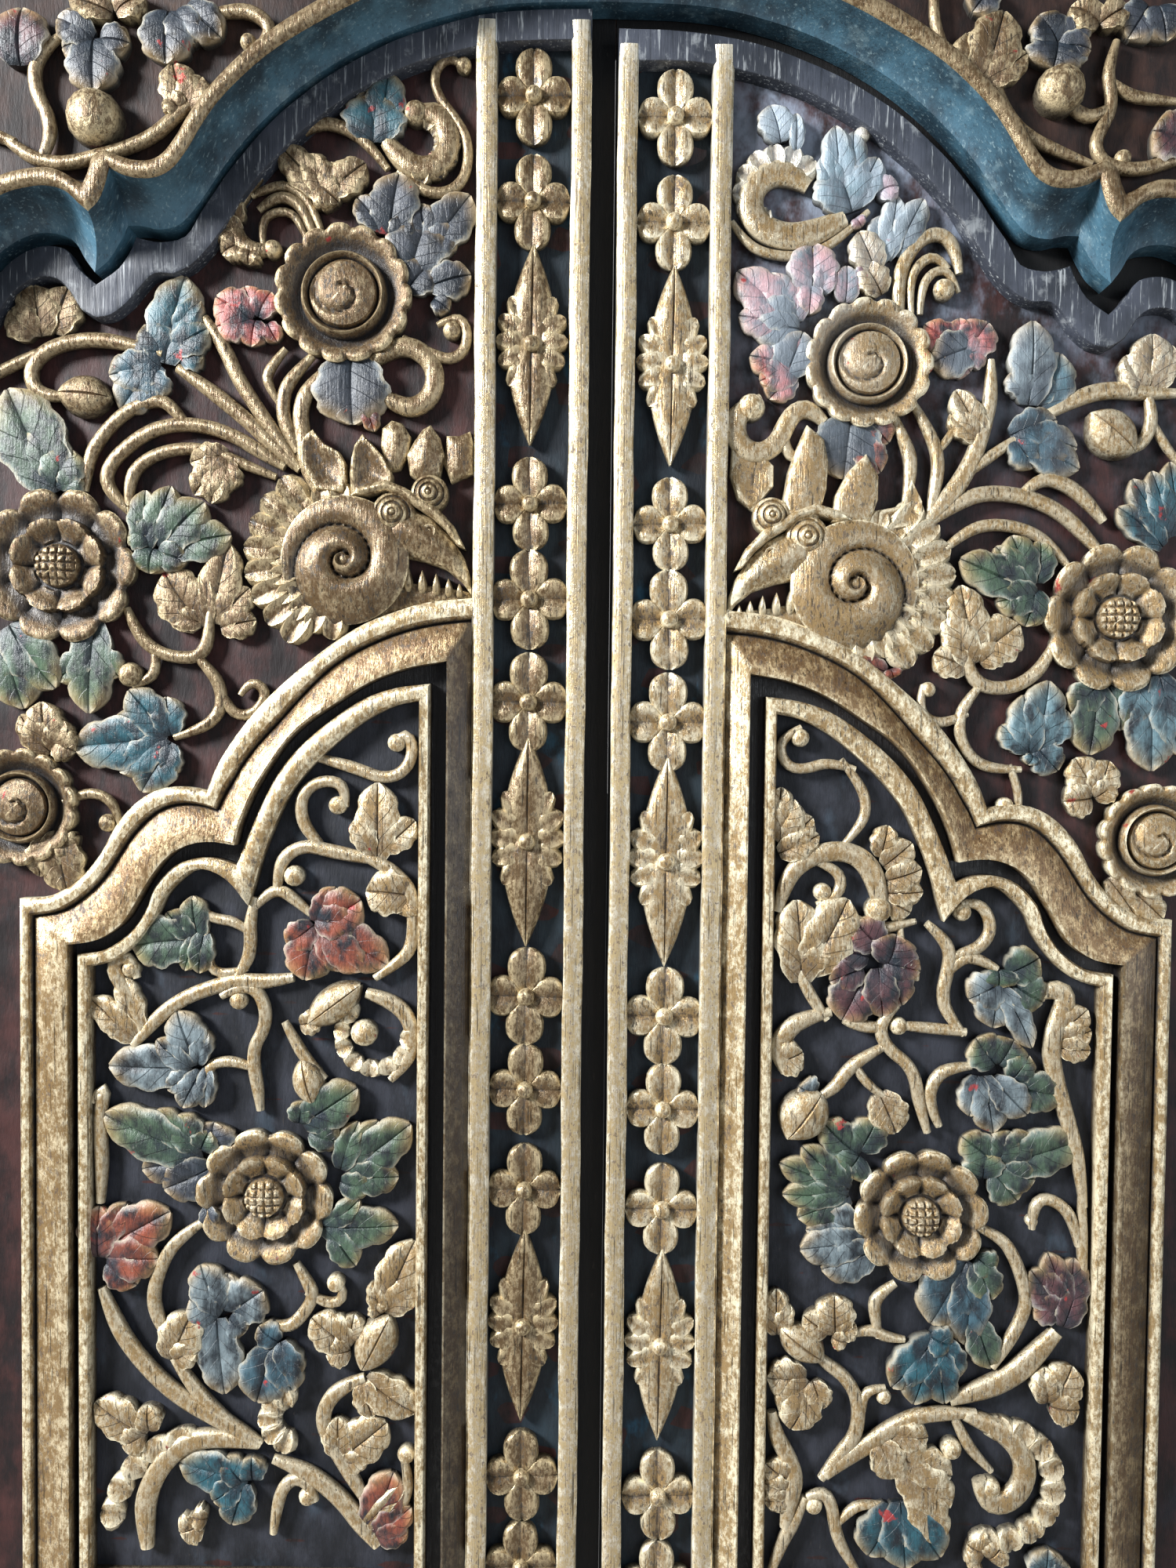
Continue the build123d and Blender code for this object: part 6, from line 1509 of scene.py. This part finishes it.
def leafRails(name, side, edge):
    lay, foot, back = leafLayout, door["foot"], door["ground"] + door["sunk"]
    rails = Carving(name + "_rails")
    tops = (lay["railTop"][side], lay["railTop"][side], edge[-1][1] + 6)
    for k, ((low, high), top) in enumerate(zip(lay["rails"], tops)):
        bar(rails, *sorted((side * low, side * high)), foot, top, back, lay["railFace"], seed=k + side * 2)
    ends = sorted(side * x for x in lay["crossRails"])
    for low, high in ((foot, panel["lowFoot"]), (panel["lowHead"], panel["foot"])):
        bar(rails, *ends, low, high, back, lay["crossFace"], seed=low)
    rails.made(name, "leaf_wood", [finishes["rails"]])


# The right leaf's upper field lies under the dust, and its gilding is brighter; the left leaf's darker gilding
# is a painted shade
def leafPieces(name, side, drop, upper, inner):
    ground, relief = door["ground"], leafLayout["relief"]
    head, edge = leafEdges(drop)
    leafPlank(name, side, head)
    frames, border = Carving(name + "_mouldings"), Carving(name + "_border")
    leafGrounds(name, side, edge, [mouldings(frames, side, drop / 2, lower) for lower in (False, True)])
    leafRails(name, side, edge)
    frames.made(name, "leaf_wood", [finishes["mouldings"]])
    back, face = leafLayout["layerBack"], leafLayout["borderFace"]
    domed(border, mirrored(side, head + edge[::-1]), back, face, 1.8, 6, 1.3, wander=0.5, paint="slate")
    border.made(name, "leaf_wood", [finishes["border"]])
    # the left leaf gets the darker finishes, a painted shade
    field = ("dusty", "gold") if drop else ("darkCarving", "darkGilt")
    for part, table, (look, gilt) in (("upper", upper, field), ("panel", inner, ("carving", "gold"))):
        carved = Carving(f"{name}_{part}_carving")
        motifs(carved, table, ground, relief, drop, 1, 11 + side + len(part))
        carved.made(name, "leaf_wood", [finishes[look]])
        stems(f"{name}_{part}_vines", table, ground, relief, drop, 1, name, gilt)
    creature(name, side, drop)
    chain(name, side, drop)
    print(name, "carved")


def box(carving, x0, x1, y0, y1, z0, z1):
    corners = [(x, y, z) for x in (x0, x1) for y in (y0, y1) for z in (z0, z1)]
    faces = [[0, 1, 3, 2], [4, 6, 7, 5], [0, 4, 5, 1], [2, 3, 7, 6], [0, 2, 6, 4], [1, 5, 7, 3]]
    carving.add(corners, faces)


def heel(carving, x, y, radius, z0, z1, sides=24):
    ring = [(x + radius * math.cos(2 * math.pi * k / sides), y + radius * math.sin(2 * math.pi * k / sides))
            for k in range(sides)]
    ends = [list(range(sides))[::-1], [sides + k for k in range(sides)]]
    carving.add([(a, b, z) for z in (z0, z1) for a, b in ring], between(2, sides, around=True) + ends)


creatureForm = {
    "skull": (163, 695, 41), "spiralTurns": 1.6, "height": 19.0, "knob": 0.1, "knobHeight": 2.0,
    "beak": ((140, 742), (124, 731), (107, 722), (95, 710), (87, 698), (83, 686), (82, 674), (88, 682),
             (98, 690), (112, 695), (126, 698), (140, 706)),
    "jaw": ((150, 654), (130, 662), (110, 668), (82, 671), (82, 677), (96, 679), (112, 681), (128, 684),
            (144, 690), (152, 676)),
    "ruffs": ((163, 695, 36, 51, 86, 268, 11), (163, 697, 46, 66, 122, 242, 8)),
    "teeth": ((132, 678, 132, 694, 8), (123, 676, 123, 692, 8), (114, 675, 114, 690, 8),
              (105, 674, 105, 688, 7), (97, 673, 97, 685, 7), (90, 672, 90, 682, 6)),
    "nostril": (109, 714, 4),
    "eyes": ((132, 725, 14), (109, 738, 12)),
    # pointed ears and scales of the crest: how far forward each reaches, how domed it is, then its outline
    "crest": {
        -1: ((-15.5, -4.0, ((184, 778), (176, 769), (167, 764), (163, 757), (162, 746), (165, 738), (182, 740),
                            (188, 750), (192, 759), (192, 769), (188, 775))),
             (-12.5, 2.0, ((134, 785), (127, 783), (122, 775), (123, 764), (129, 754), (137, 752), (141, 769),
                           (140, 780))),
             (-17.0, -4.5, ((152, 775), (145, 768), (138, 760), (133, 750), (133, 741), (159, 737), (160, 750),
                            (159, 760), (157, 768))),
             (-14.0, 3.0, ((109, 782), (103, 774), (100, 763), (103, 750), (113, 744), (122, 750), (124, 763),
                           (119, 772), (114, 779))),
             (-11.0, 1.5, ((99, 776), (91, 776), (84, 779), (82, 772), (82, 752), (96, 746), (101, 758)))),
        1: ((-16.0, 2.0, ((131, 796), (142, 787), (145, 773), (144, 755), (139, 737), (120, 734), (117, 749),
                          (120, 767), (125, 782))),
            (-16.5, 2.0, ((169, 778), (177, 764), (177, 749), (172, 735), (148, 735), (150, 752), (158, 767))),
            (-14.0, -3.0, ((199, 763), (206, 749), (206, 734), (177, 729), (178, 743), (193, 746))),
            (-11.5, -2.0, ((84, 785), (103, 779), (111, 771), (111, 758), (98, 742), (88, 750), (83, 765)))),
    },
    "brow": ((160, 736), (151, 742), (137, 746), (124, 741), (114, 735), (104, 729), (93, 717), (86, 703),
             (91, 705), (99, 715), (108, 723), (118, 729), (127, 736), (137, 739), (149, 736)),
    # large forms: depth of the face, width of the rounded edge, spacing of points, how deep it rounds, dome
    "forms": {"beak": (-15.5, 6, 2.5, 4.0, 4.5), "brow": (-19.0, 2.5, 2.0, 2.5, 1.0),
              "jaw": (-9.0, 3, 2.5, 3.0, 1.5)},
}


# The beaked head over a panel, in distances from the meeting line
def creature(name, side, drop):
    form, ground, back = creatureForm, door["ground"], door["ground"] + door["sunk"]
    head = Carving(name + "_creature")

    def at(x, z):
        return place(side * x, z, drop)

    # the skull is a ridge wound round a knob
    def volute(r, a):
        spun, knob = a if side < 0 else math.pi - a, form["knob"]
        wound = np.log(np.maximum(r, 0.02) / 0.09) / math.log(10) * form["spiralTurns"]
        ridge = np.sin(math.pi * np.mod(spun / (2 * math.pi) - wound, 1.0)) ** 0.5
        dome = form["height"] * np.sqrt(np.maximum(1 - 0.6 * r ** 2.2, 0))
        ball = np.where(r < knob, form["knobHeight"] * np.sqrt(np.maximum(1 - (r / knob) ** 2, 0)), 0)
        return dome * (0.50 + 0.50 * np.where(r < knob, 0.5, ridge)) + ball

    def hole(r, a):
        return 9.5 - 3 * (1 - smooth(0.1, 0.5, np.abs(r - 0.45) * 2.6))

    for x, z, inner, outer, first, last, count in form["ruffs"]:
        first, last = (first, last) if side < 0 else (180 - last, 180 - first)
        fringe(head, *at(x, z), inner, outer, first, last, count, 11, ground)
    x, z, radius = form["skull"]
    turned(head, *at(x, z), radius, volute, ground, 34, 110, None, 0.92)
    for front, dome, line in form["crest"][side]:
        domed(head, [at(*p) for p in line], back, front, 2.6, 2.2, 2.2, dome=dome)
    for part, (front, width, spacing, soft, dome) in form["forms"].items():
        domed(head, [at(*p) for p in form[part]], back, front, width, spacing, soft, dome=dome)
    for x0, z0, x1, z1, width in form["teeth"]:
        lobe(head, *at(x0, z0), *at(x1, z1), width * 0.8, 10, ground, form="point", coarse=True)
    for x, z, radius in form["eyes"]:
        eye(head, *at(x, z), radius, ground - 2.5)
    x, z, radius = form["nostril"]
    turned(head, *at(x, z), radius, hole, ground - 4, 10, 24, None, 2.0)
    # darker gilding on the left leaf, a painted shade
    head.made(name, "leaf_wood", [finishes["gold" if drop else "darkGilt"]])


# Flowers between pointed leaves, set down the whole stile
chainForm = {
    "petals": ((0, 3, 0, 31, 24), (0, -3, 0, -31, 24), (3, 0, 24.5, 0, 26), (-3, 0, -24.5, 0, 26)),
    "points": ((0, -4, 0, 66, 31), (0, 4, 0, -66, 31)),
    "sides": ((3, 12, 15, 31, 15), (4, 6, 22, 18, 17), (4, 0, 24, 3, 17), (3, -6, 22, -12, 17),
              (3, -12, 15, -27, 15), (-3, 12, -15, 31, 15), (-4, 6, -22, 18, 17), (-4, 0, -24, 3, 17),
              (-3, -6, -22, -12, 17), (-3, -12, -15, -27, 15)),
    "relief": 9.5, "pointRelief": 9.975, "button": 5.5,
    "x": 45.0, "pitch": 318.0, "level": 1834.0,  # the lozenges' line and spacing, and the height of the first
    "flowers": (-228.0, -162.0, -101.0), "flowerTop": 2010.0, "lozengeTop": 1900.0, "clear": 40.0,
    "turn": 0.03, "sizes": (0.96, 1.04), "turnSeed": 5, "sizeSeed": 7,
}


def chainMotifs():
    form = chainForm
    flower, lozenge = Carving("flower"), Carving("lozenge")
    for line in form["petals"]:
        lobe(flower, *line, form["relief"], 0, form="petal")
    ball(flower, 0, 0, form["button"], 0, 7.5)
    for line in form["points"]:
        lobe(lozenge, *line, form["pointRelief"], 0, form="point")
    for line in form["sides"]:
        lobe(lozenge, *line, form["relief"], 0, coarse=True)
    ball(lozenge, 0, 0, form["button"], 0, 8.0)
    return flower, lozenge


def chain(name, side, drop):
    form, (flower, lozenge) = chainForm, chainMotifs()
    pitch, ground = form["pitch"], door["ground"]
    rows = [(flower, offset + pitch, form["flowerTop"], k) for k, offset in enumerate(form["flowers"])]
    pieces = []
    for motif, offset, top, k in rows + [(lozenge, 0.0, form["lozengeTop"], 0)]:
        start = form["level"] - drop + offset
        while start - pitch > door["foot"] + form["clear"]:
            start -= pitch
        pattern = motif.plain()
        values = {"Motif": pattern, "Count": int((top - start) // pitch) + 1, "Pitch": (0, 0, pitch / 1000),
                  "First": (side * form["x"] / 1000, ground / 1000, start / 1000), "Turn": form["turn"],
                  "Smallest": form["sizes"][0], "Largest": form["sizes"][1],
                  "Seed": form["turnSeed"] + k, "SizeSeed": form["sizeSeed"],
                  # darker gilding on the left leaf, a painted shade
                  "Material": finishes["flowers" if drop else "darkGilt"]}
        line = bpy.data.meshes.new("chain_line")
        pieces.append(stood(name + "_chain", grown("chain_line", line, trees["repeats"], values)))
        bpy.data.objects.remove(pattern)
    with bpy.context.temp_override(active_object=pieces[0], selected_editable_objects=pieces):
        bpy.ops.object.join()
    rides(pieces[0], name)


trees = {"stems": stemTree(), "repeats": repeatTree()}
headBoard()
print("head board carved")
leafPieces("left_leaf", -1, 0.0, leftUpper, leftPanel)
leafPieces("right_leaf", 1, door["drop"], rightUpper, rightPanel)

nodeFinishes = {
    "sill": "crossWood", "lintel": "crossWood", "jamb": "jamb", "head_pegs": "pegWood",
    "batten_pegs": "pegWood", "batten": "crossWood", "keeper": "backWood", "bar": "crossWood",
    "knob": "pegWood", "socket": "iron", "pin": "iron",
}
for nodeName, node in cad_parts.items():
    wanted = [finish for ending, finish in nodeFinishes.items() if nodeName.endswith(ending)]
    if wanted:
        node.data.materials.clear()
        node.data.materials.append(finishes[wanted[0]])
print("plain parts finished")

view = {
    "place": (-0.006, -0.7417, 1.576), "pitch": -1.75, "roll": 0.62,
    "sensor": 36, "focal": 1444 / 2000,       # focal length as a share of the picture's tall side
    "floor": rgb(170, 168, 164), "sky": (0.80, 0.88, 1.0), "skyStrength": 0.27,
    "floorReach": 40, "aim": (0, 0, 1.35),
}


def camera():
    pitch, roll = math.radians(view["pitch"]), math.radians(view["roll"])
    forward, right = Vector((0, math.cos(pitch), math.sin(pitch))), Vector((1, 0, 0))
    up = right.cross(forward)
    across = right * math.cos(roll) + up * math.sin(roll)
    upward = up * math.cos(roll) - right * math.sin(roll)
    data = bpy.data.cameras.new("camera")
    data.sensor_width, data.lens, data.clip_start = view["sensor"], view["focal"] * view["sensor"], 0.05
    turn = Matrix((across, upward, -forward)).transposed().to_4x4()
    thing = stood("camera", data)
    thing.matrix_world = Matrix.Translation(view["place"]) @ turn
    bpy.context.scene.camera = thing


lamps = {
    "key": {"place": (-2.3, -1.35, 2.75), "size": 0.7, "power": 245, "tint": (0.975, 0.99, 1.0)},
    "fill": {"place": (1.9, -2.0, 1.6), "size": 1.6, "power": 30, "tint": (0.86, 0.93, 1.0)},
    "back": {"place": (0.8, 2.6, 3.0), "size": 1.6, "power": 34, "tint": (1.0, 1.0, 1.0)},
}


def studio():
    for name, lamp in lamps.items():
        data = bpy.data.lights.new(name, "AREA")
        data.energy, data.size, data.color = lamp["power"], lamp["size"], lamp["tint"]
        aim = Vector(view["aim"]) - Vector(lamp["place"])
        turn = aim.to_track_quat("-Z", "Y").to_matrix().to_4x4()
        stood(name, data).matrix_world = Matrix.Translation(lamp["place"]) @ turn
    mesh, reach = bpy.data.meshes.new("floor"), view["floorReach"]
    corners = [(-reach, -reach, 0), (reach, -reach, 0), (reach, reach, 0), (-reach, reach, 0)]
    mesh.from_pydata(corners, [], [(0, 1, 2, 3)])
    mesh.materials.append(Finish("pale_floor").done(view["floor"], 0.7))
    stood("floor", mesh)


# The sky lights the door faintly, and the camera sees white behind it
def sky():
    world = bpy.data.worlds.new("studio")
    world.use_nodes = True
    bpy.context.scene.world = world
    g = Graph(world.node_tree)
    lit = g.node("ShaderNodeBackground", inputs={"Color": view["sky"], "Strength": view["skyStrength"]})
    shown = g.node("ShaderNodeBackground", inputs={"Color": (1, 1, 1)})
    seen = g.node("ShaderNodeLightPath", out="Is Camera Ray")
    mixed = g.node("ShaderNodeMixShader", inputs={0: seen, 1: lit, 2: shown})
    g.plug(world.node_tree.nodes["World Output"].inputs["Surface"], mixed)


camera()
studio()
sky()
bpy.context.scene.view_settings.view_transform = "Standard"
